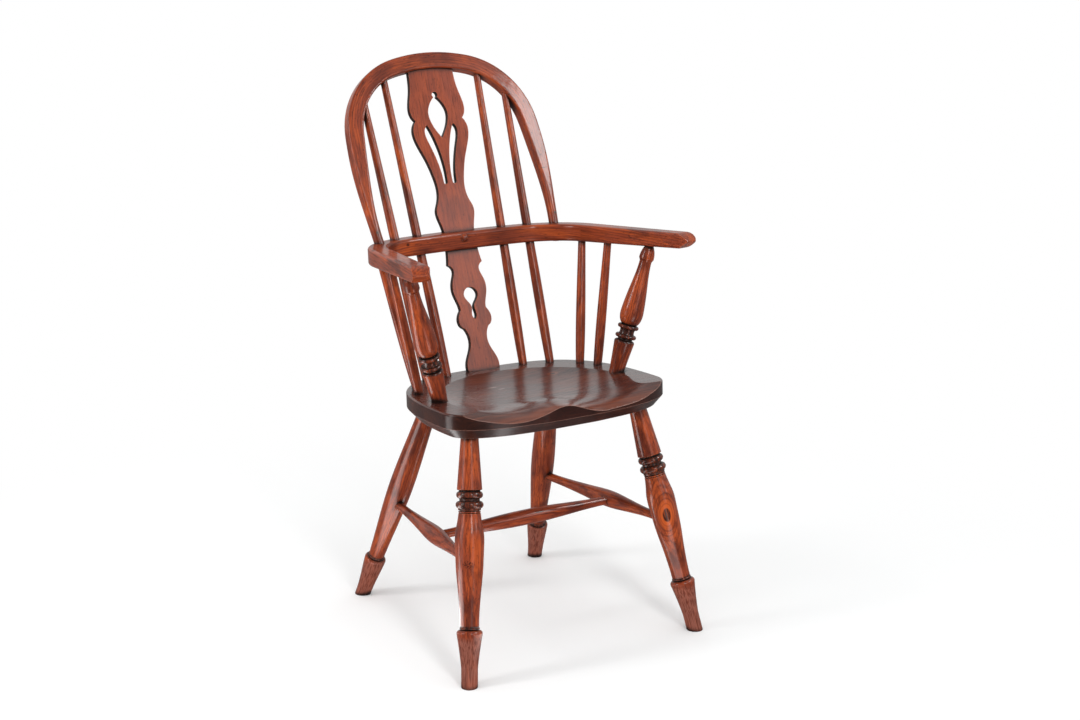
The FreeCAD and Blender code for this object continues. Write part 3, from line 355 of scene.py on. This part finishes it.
def polished_wood(
    tree,
    place,
    tones,
    seed,
    pith,
    figure=1.0,
    flaws=(),
    wavy=0.22,
    sawn=None,
    foot=None,
    lip=None,
    beads=(),
):
    """Old polished wood: figure, flecks, knots, worn edges and dirt under a clear coat.

    Edges are also painted pale as a highlight, and hollows and corners painted dark as shade.
    The polish gives sharp lamp highlights over a warm, uneven ground; grooves stay dull and black.
    """
    seed = SEED_STEP * seed
    coordinates = add(tree, "TexCoord", {}, out="Object")
    drift_width, drift_run, drift_sway = DRIFT
    drift = grain_marks(tree, place, seed, drift_width, drift_run, out="Color")
    sway = add(tree, "VectorMath", {0: drift, 1: (0.5, 0.5, 0.5)}, operation="SUBTRACT")
    sway = add(tree, "VectorMath", {0: sway, "Scale": drift_sway}, operation="SCALE")
    ringed = add(tree, "VectorMath", {0: place, 1: sway}, operation="ADD")
    ringed = add(tree, "VectorMath", {0: ringed, 1: pith}, operation="ADD")
    reaches = [from_flaw(tree, coordinates, sway, *flaw[1:3]) for flaw in flaws]
    rings = growth_rings(tree, ringed, tones.ring, flaws, reaches)
    mottle = grain_marks(tree, ringed, seed, tones.mottle, MOTTLE_RUN * tones.mottle, 3.0)
    patches = grain_marks(tree, place, seed + 5, *(size * tones.mottle for size in PATCH_SIZE))
    streaks = grain_marks(tree, ringed, seed, tones.streak, STREAK_RUN * tones.streak, 4.0, 0.6)
    fibres = grain_marks(tree, place, seed, tones.fibre, FIBRE_RUN * tones.fibre, 3.0)
    specks = grain_marks(tree, place, seed + 9, *(size * tones.fibre for size in SPECK_SIZE))

    # Figure, from broad to fine: marks, where they start and are full, strength, tone
    layers = (
        (mottle, 0.44, 0.66, 0.65 * figure, tones.light),
        (patches, 0.5, 0.66, 0.75 * figure, tones.dark),
        (rings, 0.35, 1.0, 0.42 * figure, tones.dark),
        (streaks, 0.48, 0.33, 0.5 * figure, tones.dark),
        (streaks, 0.55, 0.7, 0.6 * figure, tones.light),
        (fibres, 0.52, 0.7, 0.5, tones.deep),
        (specks, 0.62, 0.72, 0.7, tones.deep),
    )
    wood = tones.mid
    for layer in layers:
        wood = stain(tree, wood, *layer)
    for (kind, _, _, radius), reach in zip(flaws, reaches):
        if kind == "knot":
            wood = draw_knot(tree, wood, tones, fibres, radius, reach)
        elif kind == "flecks":
            wood = draw_flecks(tree, wood, tones, coordinates, seed, radius, reach)
        else:
            tone = tones.deep if kind == "crack" else tones.worn
            wood = stain(tree, wood, reach, radius, 0.5 * radius, 0.85, tone)

    # Wear and painted light: pale edges, part wear and part painted highlight; scuffed feet;
    # dark side faces, part soot and part painted shade; dirt on the rings; painted shade in corners
    gloss = tones.polish
    facing = add(tree, "NewGeometry", {}, out="Normal")
    rounded = add(tree, "Bevel", {"Radius": EDGE_RADIUS}, samples=6)
    edge_wear_and_highlight = add(tree, "VectorMath", {0: facing, 1: rounded}, out="Value", operation="DOT_PRODUCT")
    # On the seat: the lip painted lighter as light, and the front and sides painted darker as shade
    if lip is not None:
        upward = add(tree, "SeparateXYZ", {0: facing}, out="Z")
        wood = lip(tree, wood, coordinates, upward, streaks, tones)
        gloss = dull(tree, gloss, upward, 0.7, 0.3, 0.35)
    # Painted highlight, partly real wear: edges go pale where the rounded normal leaves the true
    # one
    wood = stain(tree, wood, edge_wear_and_highlight, 0.992, 0.94, 0.85, tones.edge)
    if foot is not None:
        height = add(tree, "SeparateXYZ", {0: coordinates}, out="Z")
        scuffed = stain(tree, tones.worn, fibres, 0.46, 0.6, 0.75, tones.dark)
        wood = stain(tree, wood, height, foot, foot - FOOT_FADE, 0.75, scuffed)
        gloss = dull(tree, gloss, height, foot, foot - FOOT_FADE, 0.4)
    if sawn is not None:
        turned = add(tree, "VectorMath", {0: facing, 1: sawn}, out="Value", operation="DOT_PRODUCT")
        turned = add(tree, "Math", {0: turned}, operation="ABSOLUTE")
        # Painted shade, partly real soot: faces turned away from the splat's front go nearly black
        wood = stain(tree, wood, turned, 0.8, 0.4, 0.94, tones.grime_and_shade)
        gloss = dull(tree, gloss, turned, 0.8, 0.4, 0.12)
    along = add(tree, "SeparateXYZ", {0: place}, out="Z")
    for middle, half_width in beads:
        near = add(tree, "Math", {0: along, 1: middle}, operation="SUBTRACT")
        near = add(tree, "Math", {0: near}, operation="ABSOLUTE")
        dirt = stain(tree, tones.grime_and_shade, streaks, 0.42, 0.62, 0.55, wood)
        wood = stain(tree, wood, near, half_width, half_width - BEAD_FADE, 0.85, dirt)
    # Painted shade, partly real dirt: the dark colour goes where ambient occlusion finds grooves,
    # corners and gaps between parts
    occlusion_shade = add(tree, "AmbientOcclusion", {"Distance": SHADE_REACH}, out="AO", samples=8)
    wood = stain(tree, wood, occlusion_shade, 0.95, 0.55, 0.97, tones.grime_and_shade)
    gloss = dull(tree, gloss, occlusion_shade, 0.75, 0.4, 0.2)

    # Surface: raised grain in the wood, a slow swell in the polish over it
    fine = add(tree, "Math", {0: fibres, 1: streaks}, operation="ADD")
    relief = add(
        tree, "Bump", {"Strength": tones.coarse, "Distance": GRAIN_DEPTH, "Height": fine}
    )
    swell = grain_marks(tree, place, seed, SWELL_WIDTH, SWELL_RUN, 3.0)
    soft = add(
        tree,
        "Bump",
        {"Strength": wavy, "Distance": SWELL_DEPTH, "Height": swell, "Normal": rounded},
    )
    roughness = add(
        tree,
        "MapRange",
        {"Value": fibres, "From Min": 0.3, "From Max": 0.7, "To Min": 0.34, "To Max": 0.5},
    )
    shader = add(
        tree,
        "BsdfPrincipled",
        {
            "Base Color": wood,
            "Roughness": roughness,
            "IOR": POLISH_IOR,
            "Specular IOR Level": 0.12,
            "Normal": relief,
            "Coat Weight": gloss,
            "Coat Roughness": tones.blur,
            "Coat IOR": POLISH_IOR,
            "Coat Normal": soft,
        },
    )
    add(tree, "OutputMaterial", {"Surface": shader})


def dress(piece, material):
    piece.data.materials.clear()
    piece.data.materials.append(material)


# Share of a straight piece's length that counts as its end
END_SHARE = 0.12


def run_of(piece):
    """Middle of a straight piece, and the turn that brings its length onto Z."""
    points = [vertex.co for vertex in piece.data.vertices]
    low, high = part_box(piece.name)
    size = high - low
    axis = max(range(3), key=lambda index: size[index])
    ends = []
    for edge, sign in ((low[axis], 1), (high[axis], -1)):
        near = [p for p in points if sign * (p[axis] - edge) < END_SHARE * size[axis]]
        ends.append(sum(near, Vector()) / len(near))
    heading = ends[1] - ends[0]
    return (ends[0] + ends[1]) / 2, heading.to_track_quat("Z", "Y").to_euler()


# Flaws: kind, centre, how each axis is stretched, and radius
FLAWS = {
    "front_leg_right": [("knot", (0.1853, -0.2311, 0.2090), (1.0, 0.6, 0.5), 0.0102)],
    "front_leg_left": [("flecks", (-0.2093, -0.2311, 0.1974), (0.8, 0.6, 1.0), 0.012)],
    "cross_stretcher": [("crack", (0.0224, -0.0789, 0.2007), (0.2, 0.5, 1.8), 0.0026)],
    "back_hoop": [
        ("crack", (0.1808, 0.1542, 0.7604), (0.2, 1.0, 1.6), 0.0016),
        ("crack", (0.1436, 0.2167, 0.8884), (0.4, 0.8, 1.2), 0.0022),
    ],
    "arm_bow": [("crack", (-0.1187, 0.1228, 0.6543), (0.7, 1, 1), 0.0032)],
    "seat": [
        ("knot", (0.0903, -0.0147, 0.4250), (0.7, 1, 1), 0.006),
        ("scratch", (-0.0451, -0.0267, 0.4216), (0.09, 0.8, 0.1), 0.0012),
        ("scratch", (-0.0330, -0.0400, 0.4216), (0.12, 0.9, 0.1), 0.0011),
    ],
}

# Turned pieces: the pith lies beside each piece's axis, so the rings show as flames
TURNED = (
    ("front_leg_right", (0.016, 0.03, 0)),
    ("front_leg_left", (-0.022, 0.026, 0)),
    ("back_leg_right", (0.02, -0.03, 0)),
    ("back_leg_left", (-0.03, 0.02, 0)),
    ("side_stretcher_right", (0.02, 0.012, 0)),
    ("side_stretcher_left", (0.015, 0.02, 0)),
    ("cross_stretcher", (0.03, 0.012, 0)),
    ("arm_support_right", (0.02, 0.02, 0)),
    ("arm_support_left", (0.026, 0.014, 0)),
    ("inner_back_spindle_right", (0.02, 0.01, 0)),
    ("inner_back_spindle_left", (0.01, 0.02, 0)),
    ("outer_back_spindle_right", (0.014, 0.02, 0)),
    ("outer_back_spindle_left", (0.024, 0.01, 0)),
    ("rear_arm_spindle_right", (0.02, 0.02, 0)),
    ("rear_arm_spindle_left", (0.012, 0.02, 0)),
    ("front_arm_spindle_right", (0.02, 0.014, 0)),
    ("front_arm_spindle_left", (0.018, 0.018, 0)),
    ("splat_peg", (0.01, 0.01, 0)),
)
FRONT_FOOT_TOP = 0.086
BACK_FOOT_TOP = 0.080
# Grimy rings: middle and half width, from the middle of the piece along its axis
BEADS = {
    "front_leg": ((0.087, 0.019), (-0.120, 0.005)),
    "back_leg": ((-0.133, 0.005),),
    "arm_support": ((-0.038, 0.018),),
}


class CHAIR_OT_turned_pieces(bpy.types.Operator):
    """Polish the legs, stretchers, spindles, arm supports and peg as turned yew"""

    bl_idname = "chair.turned_pieces"
    bl_label = "Turned pieces"

    def execute(self, context):
        tones = context.scene.yew_tones
        for seed, (name, pith) in enumerate(TURNED, start=1):
            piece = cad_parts[name]
            # Yew turned on a lathe: flames where the cut crosses rings, dirt and painted shade in
            # the grooves
            material, tree = new_tree("turned_polished_yew_" + name)
            place = straight_grain(tree, *run_of(piece))
            foot = None
            if "leg" in name:
                foot = FRONT_FOOT_TOP if name.startswith("front") else BACK_FOOT_TOP
            beads = BEADS.get(name.rsplit("_", 1)[0], ())
            flaws = FLAWS.get(name, ())
            polished_wood(tree, place, tones, seed, pith, flaws=flaws, foot=foot, beads=beads)
            dress(piece, material)
        return {"FINISHED"}


# Bent pieces: their plane, their arcs as (middle, radius) with the shared one first, the headings
# at which the other two take over, and the middle that the run along the grain is counted round
HOOP_LEAN = math.radians(26.1)
BENT = {
    "arm_bow": {
        "origin": (0, 0, 0.648),
        "turn": (0, 0, 0),
        "bends": ((0.0964, 0.0311, 0.1135), (0.0, -0.4966, 0.65), (-48.7317, -10.2560, 50.0)),
        "splits": ((-0.9837, 0.1797, 0), (0.2062, -0.9785, 0)),
        "middle": -0.35,
    },
    "back_hoop": {
        "origin": (0, 0.11227, 0.65146),
        "turn": (math.pi / 2 - HOOP_LEAN, 0, 0),
        "bends": ((0.0418, 0.1948, 0.1335), (-0.689, 0.1035, 0.87), (0.0, 0.03, 0.3035)),
        "splits": ((0.1239, -0.9923, 0), (-0.9693, 0.2460, 0)),
        "middle": 0.03,
    },
}
# The pith lies well off each bar, so that the rings run along it; and how strong the figure is
BENT_WOOD = (
    ("arm_bow", 21, (0.03, 0.05, 0), 1.0),
    ("back_hoop", 22, (0.05, 0.02, 0), 0.75),
)


class CHAIR_OT_bent_pieces(bpy.types.Operator):
    """Polish the arm bow and the back hoop as bent yew, with the grain round each bend"""

    bl_idname = "chair.bent_pieces"
    bl_label = "Arm bow and hoop"

    def execute(self, context):
        tones = context.scene.yew_tones
        for name, seed, pith, figure in BENT_WOOD:
            # Yew split along its grain and steam bent: long unbroken streaks follow the bends
            material, tree = new_tree("steam_bent_polished_yew_" + name)
            place = bent_grain(tree, **BENT[name])
            polished_wood(tree, place, tones, seed, pith, figure, FLAWS[name])
            dress(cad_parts[name], material)
        return {"FINISHED"}


# Splat boards: their plane leans back with the spindles
SPLAT_MIDDLE = (0, 0.1525, 0.6487)
SPLAT_LEAN = math.radians(19.4)
SPLAT_FRONT = (0, -math.cos(SPLAT_LEAN), math.sin(SPLAT_LEAN))
SPLAT_PITH = (0.012, 0.035, 0)


class CHAIR_OT_splats(bpy.types.Operator):
    """Polish both splat boards as flat sawn yew, with sawn edges darkened by soot and painted shade
    """

    bl_idname = "chair.splats"
    bl_label = "Splat boards"

    def execute(self, context):
        tones = context.scene.yew_tones
        for name, seed in (("upper_splat", 31), ("lower_splat", 32)):
            # Flat-sawn yew planed smooth: calm faces with little wave, and sawn edges dark with
            # soot and painted shade
            material, tree = new_tree("sawn_polished_yew_" + name)
            place = straight_grain(tree, SPLAT_MIDDLE, (-SPLAT_LEAN, 0, 0))
            polished_wood(
                tree, place, tones, seed, SPLAT_PITH, figure=0.4, wavy=0.06, sawn=SPLAT_FRONT
            )
            dress(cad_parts[name], material)
        return {"FINISHED"}


SEAT_MIDDLE = (0, -0.08, 0.41)
SEAT_PITH = (0.05, 0.11, 0)
# The rubbed slope, also painted lighter as light: where it starts and is full, in height,
# towards the front, and in facing up
LIP_HEIGHT = (0.4, 0.412)
LIP_FRONT = (-0.185, -0.235)
LIP_UPWARD = (0.5, 0.75)


def lip_wear_and_front_shade(tree, wood, coordinates, upward, streaks, tones):
    """Red, rubbed wood on the slope at the front edge of the saddle, over a front painted dark.

    The dark front and sides are painted shade; the lighter slope is part wear, part painted light.
    """
    # Painted shade: every face of the seat that turns away from the top goes darker
    wood = stain(tree, wood, upward, 0.6, 0.3, 0.6, tones.deep)
    front = add(tree, "SeparateXYZ", {0: coordinates}, out="Y")
    height = add(tree, "SeparateXYZ", {0: coordinates}, out="Z")
    uneven = streaks
    for value, (start, full) in ((front, LIP_FRONT), (height, LIP_HEIGHT), (upward, LIP_UPWARD)):
        share = add(tree, "MapRange", {"Value": value, "From Min": start, "From Max": full})
        uneven = add(tree, "Math", {0: uneven, 1: share}, operation="MULTIPLY")
    # Part wear, part painted light: the slope at the lip that faces up is made lighter
    return stain(tree, wood, uneven, 0.1, 0.55, 0.9, tones.light)


class CHAIR_OT_seat(bpy.types.Operator):
    """Polish the seat board as dark old elm, with the grain from side to side"""

    bl_idname = "chair.seat"
    bl_label = "Seat board"

    def execute(self, context):
        # Elm adzed and scraped hollow: wild, open grain under a smeared, waxy shine
        material, tree = new_tree("saddled_polished_elm_seat")
        place = straight_grain(tree, SEAT_MIDDLE, (0, math.pi / 2, 0))
        tones = context.scene.elm_tones
        polished_wood(tree, place, tones, 41, SEAT_PITH, 0.8, FLAWS["seat"], lip=lip_wear_and_front_shade)
        dress(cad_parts["seat"], material)
        return {"FINISHED"}


# Right pin: where it stands on the hoop's foot, and which way it points; the left one mirrors it
PIN_PLACE = (0.1795, 0.1185, 0.683)
PIN_HEADING = (0.3, -0.88, 0.37)


class CHAIR_OT_hoop_pins(bpy.types.Operator):
    """Set a small domed iron pin in the front of each foot of the hoop"""

    bl_idname = "chair.hoop_pins"
    bl_label = "Hoop pins"

    def execute(self, context):
        pins = context.scene.pin_sizes
        material, tree = new_tree("filed_rubbed_iron")
        # Filed iron, browned with age and rubbed by cloths: a dim metal glint with a soft edge
        shader = add(
            tree,
            "BsdfPrincipled",
            {"Base Color": pins.metal, "Metallic": 1.0, "Roughness": 0.42},
        )
        add(tree, "OutputMaterial", {"Surface": shader})
        for side, label in ((1, "right"), (-1, "left")):
            mesh = bpy.data.meshes.new("hoop_pin_" + label)
            shape = bmesh.new()
            bmesh.ops.create_uvsphere(shape, u_segments=24, v_segments=12, radius=pins.diameter / 2)
            bmesh.ops.scale(shape, vec=(1, 1, 2 * pins.rise / pins.diameter), verts=shape.verts)
            mirror = Vector((side, 1, 1))
            out = (Vector(PIN_HEADING) * mirror).normalized()
            stand = Matrix.Translation(Vector(PIN_PLACE) * mirror)
            place = stand @ out.to_track_quat("Z", "Y").to_matrix().to_4x4()
            bmesh.ops.transform(shape, matrix=place, verts=shape.verts)
            bmesh.ops.recalc_face_normals(shape, faces=shape.faces)
            for face in shape.faces:
                face.smooth = True
            shape.to_mesh(mesh)
            shape.free()
            pin = bpy.data.objects.new("hoop_pin_" + label, mesh)
            context.scene.collection.objects.link(pin)
            mesh.materials.append(material)
            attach(pin, "root")
        return {"FINISHED"}


# Stage: the camera's place in metres, its turns in radians
CAMERA_PLACE = Vector((-1.6475, -2.7667, 1.2964))
CAMERA_YAW = 0.55625
CAMERA_PITCH = -0.25452
CAMERA_ROLL = -0.00395
# Lens and sensor width in millimetres
CAMERA_LENS = 63.97
CAMERA_SENSOR = 36
FLOOR_RADIUS = 30.0
CHAIR_MIDDLE = Vector((0, 0, 0.45))
BACKDROP_HEADING = (math.sin(CAMERA_YAW), math.cos(CAMERA_YAW), 0.0)
# Softboxes: azimuth and elevation in degrees, then distance, width and height in metres
RIGHT_SOFTBOX = (260, 34, 3.0, 0.45, 1.5)
LEFT_SOFTBOX = (170, 31, 2.8, 0.45, 1.4)
# Cards light nothing: the hoop's right leg mirrors the high one, splats and spindles the low one
HIGH_CARD = (320, 36, 2.8, 0.6, 0.9)
LOW_CARD = (301, 22, 2.8, 0.9, 0.9)
# Tall bright panels at the sides, which the polish mirrors: heading and half width in degrees
RIGHT_PANEL = (267, 9)
LEFT_PANEL = (170, 12)
# The panels end between these heights, as the Z of a direction, and are dimmer than the floor
PANEL_TOP = (0.6, 0.45)
PANEL_SHARE_ABOVE = 0.4
# Distances from the chair: where the paper is left for plain white in the camera's view, and
# where the panels' painted glow in the floor, seen only by the polish, starts and is full
PAPER_FADE = (0.5, 1.3)
PANEL_FADE = (3.0, 1.5)
# From before the chair to behind it, as a distance on the floor and as a share in the studio
FLOOR_TURN = (-0.8, 0.8)
STUDIO_TURN = (-0.25, 0.35)
WHITE = (1, 1, 1, 1)


def lamp(name, watts, azimuth, elevation, distance, width, height):
    """A softbox that faces the chair; angles in degrees, azimuth from +X towards +Y."""
    data = bpy.data.lights.new(name, "AREA")
    data.shape = "RECTANGLE"
    data.size = width
    data.size_y = height
    data.energy = watts
    light = bpy.data.objects.new(name, data)
    across = math.radians(azimuth)
    up = math.radians(elevation)
    out = Vector((math.cos(across) * math.cos(up), math.sin(across) * math.cos(up), math.sin(up)))
    light.location = CHAIR_MIDDLE + out * distance
    light.rotation_euler = out.to_track_quat("Z", "Y").to_euler()
    bpy.context.scene.collection.objects.link(light)
    return light


def set_camera():
    forward = Vector(
        (
            math.sin(CAMERA_YAW) * math.cos(CAMERA_PITCH),
            math.cos(CAMERA_YAW) * math.cos(CAMERA_PITCH),
            math.sin(CAMERA_PITCH),
        )
    )
    level = Vector((math.cos(CAMERA_YAW), -math.sin(CAMERA_YAW), 0))
    upright = level.cross(forward)
    right = level * math.cos(CAMERA_ROLL) + upright * math.sin(CAMERA_ROLL)
    up = right.cross(forward)
    turn = Matrix((right, up, -forward)).transposed().to_4x4()
    data = bpy.data.cameras.new("camera")
    data.lens = CAMERA_LENS
    data.sensor_width = CAMERA_SENSOR
    camera = bpy.data.objects.new("camera", data)
    camera.matrix_world = Matrix.Translation(CAMERA_PLACE) @ turn
    bpy.context.scene.collection.objects.link(camera)
    bpy.context.scene.camera = camera


def front_to_back(tree, place, turn, front, back):
    """A strength that goes from one value before the chair to another behind it."""
    behind = add(
        tree, "VectorMath", {0: place, 1: BACKDROP_HEADING}, out="Value", operation="DOT_PRODUCT"
    )
    start, full = turn
    return add(
        tree,
        "MapRange",
        {"Value": behind, "From Min": start, "From Max": full, "To Min": front, "To Max": back},
        interpolation_type="SMOOTHSTEP",
    )


def with_panels(tree, place, where, strength, light, share=1.0):
    """Add both panels' light to a strength, in directions or places on the floor towards them.

    It is full over the middle half of a panel and ends a quarter of its width beyond each side.
    """
    for panel, brightness in ((RIGHT_PANEL, light.right_panel), (LEFT_PANEL, light.left_panel)):
        heading, half_width = (math.radians(angle) for angle in panel)
        flat = add(tree, "VectorMath", {0: place, 1: (1, 1, 0)}, operation="MULTIPLY")
        flat = add(tree, "VectorMath", {0: flat}, operation="NORMALIZE")
        towards = (math.cos(heading), math.sin(heading), 0)
        near = add(tree, "VectorMath", {0: flat, 1: towards}, out="Value", operation="DOT_PRODUCT")
        bright = add(
            tree,
            "MapRange",
            {
                "Value": near,
                "From Min": math.cos(1.5 * half_width),
                "From Max": math.cos(0.5 * half_width),
                "To Max": share * brightness,
            },
            interpolation_type="SMOOTHSTEP",
        )
        strength = add(tree, "Math", {0: bright, 1: where, 2: strength}, operation="MULTIPLY_ADD")
    return strength


def lay_floor(light):
    """White paper that keeps the chair's shadow and is plain white further out.

    To the polish it glows, a painted reflection that is brightest below both panels.
    """
    mesh = bpy.data.meshes.new("floor")
    shape = bmesh.new()
    bmesh.ops.create_circle(shape, cap_ends=True, segments=96, radius=FLOOR_RADIUS)
    shape.to_mesh(mesh)
    shape.free()
    floor = bpy.data.objects.new("floor", mesh)
    bpy.context.scene.collection.objects.link(floor)
    # Matt studio paper: no gloss, so only the soft shadow shows on it
    material, tree = new_tree("matt_white_paper")
    paper = add(tree, "BsdfDiffuse", {"Color": light.paper})
    glow = add(tree, "Emission", {"Color": WHITE})
    place = add(tree, "TexCoord", {}, out="Object")
    reach = add(tree, "VectorMath", {0: place}, out="Value", operation="LENGTH")
    far, panel_glow_share = (
        add(
            tree,
            "MapRange",
            {"Value": reach, "From Min": start, "From Max": full},
            interpolation_type="SMOOTHSTEP",
        )
        for start, full in (PAPER_FADE, PANEL_FADE)
    )
    seen = add(tree, "LightPath", {}, out="Is Camera Ray")
    share = add(tree, "Math", {0: far, 1: seen}, operation="MULTIPLY")
    surface = add(tree, "MixShader", {0: share, 1: paper, 2: glow})
    # What the polish mirrors is a glow painted into the floor, though it is no lamp:
    # dim before the chair, paler behind it, bright below both panels
    strength = front_to_back(tree, place, FLOOR_TURN, light.dim, light.far_floor)
    strength = with_panels(tree, place, panel_glow_share, strength, light)
    mirrored = add(tree, "LightPath", {}, out="Is Glossy Ray")
    floor_glow_for_polish = add(tree, "Emission", {"Color": WHITE, "Strength": strength})
    surface = add(tree, "MixShader", {0: mirrored, 1: surface, 2: floor_glow_for_polish})
    add(tree, "OutputMaterial", {"Surface": surface})
    mesh.materials.append(material)


def light_studio(light):
    """White backdrop behind the chair, dim studio on the camera's side, softboxes and cards."""
    world = bpy.data.worlds.new("studio")
    bpy.context.scene.world = world
    world.use_nodes = True
    tree = world.node_tree
    tree.nodes.clear()
    seen = add(tree, "LightPath", {}, out="Is Camera Ray")
    mirrored = add(tree, "LightPath", {}, out="Is Glossy Ray")
    passed = add(tree, "LightPath", {}, out="Is Transmission Ray")
    heading = add(tree, "TexCoord", {}, out="Generated")
    backdrop = front_to_back(tree, heading, STUDIO_TURN, light.dim, light.backdrop)
    level = add(tree, "SeparateXYZ", {0: heading}, out="Z")
    start, full = PANEL_TOP
    low = add(tree, "MapRange", {"Value": level, "From Min": start, "From Max": full})
    backdrop = with_panels(tree, heading, low, backdrop, light, PANEL_SHARE_ABOVE)
    strength = add(tree, "Mix", {0: mirrored, 2: light.sky, 3: backdrop})
    direct = add(tree, "Math", {0: seen, 1: passed}, operation="MAXIMUM")
    strength = add(tree, "Mix", {0: direct, 2: strength, 3: 1.0})
    glow = add(tree, "Background", {"Color": WHITE, "Strength": strength})
    add(tree, "OutputWorld", {"Surface": glow})

    lamp("right_softbox", light.right, *RIGHT_SOFTBOX)
    lamp("left_softbox", light.left, *LEFT_SOFTBOX)
    for name, watts, card in (
        ("high_reflector", light.card, HIGH_CARD),
        ("low_reflector", light.low_card, LOW_CARD),
    ):
        lamp(name, watts, *card).visible_diffuse = False


class CHAIR_OT_stage(bpy.types.Operator):
    """Lay the white paper floor, light it softly and set the camera"""

    bl_idname = "chair.stage"
    bl_label = "Stage"

    def execute(self, context):
        light = context.scene.studio_light
        lay_floor(light)
        light_studio(light)
        set_camera()
        context.scene.view_settings.view_transform = "Standard"
        return {"FINISHED"}


class CHAIR_PT_panel(bpy.types.Panel):
    """Lists the steps that finish the chair"""

    bl_idname = "CHAIR_PT_panel"
    bl_label = "Windsor chair"
    bl_space_type = "VIEW_3D"
    bl_region_type = "UI"
    bl_category = "Chair"

    def draw(self, context):
        for step in STEPS:
            self.layout.operator(step.bl_idname)


STEPS = (
    CHAIR_OT_turned_pieces,
    CHAIR_OT_bent_pieces,
    CHAIR_OT_splats,
    CHAIR_OT_seat,
    CHAIR_OT_hoop_pins,
    CHAIR_OT_stage,
)
GROUPS = {
    "yew_tones": YewTones,
    "elm_tones": ElmTones,
    "pin_sizes": PinSizes,
    "studio_light": StudioLight,
}


def register():
    for name, group in GROUPS.items():
        bpy.utils.register_class(group)
        setattr(bpy.types.Scene, name, bpy.props.PointerProperty(type=group))
    for step in STEPS:
        bpy.utils.register_class(step)
    bpy.utils.register_class(CHAIR_PT_panel)


def unregister():
    bpy.utils.unregister_class(CHAIR_PT_panel)
    for step in reversed(STEPS):
        bpy.utils.unregister_class(step)
    for name, group in GROUPS.items():
        delattr(bpy.types.Scene, name)
        bpy.utils.unregister_class(group)


def main():
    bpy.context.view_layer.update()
    register()
    bpy.ops.chair.turned_pieces()
    bpy.ops.chair.bent_pieces()
    bpy.ops.chair.splats()
    bpy.ops.chair.seat()
    bpy.ops.chair.hoop_pins()
    bpy.ops.chair.stage()


if __name__ == "__main__":
    main()
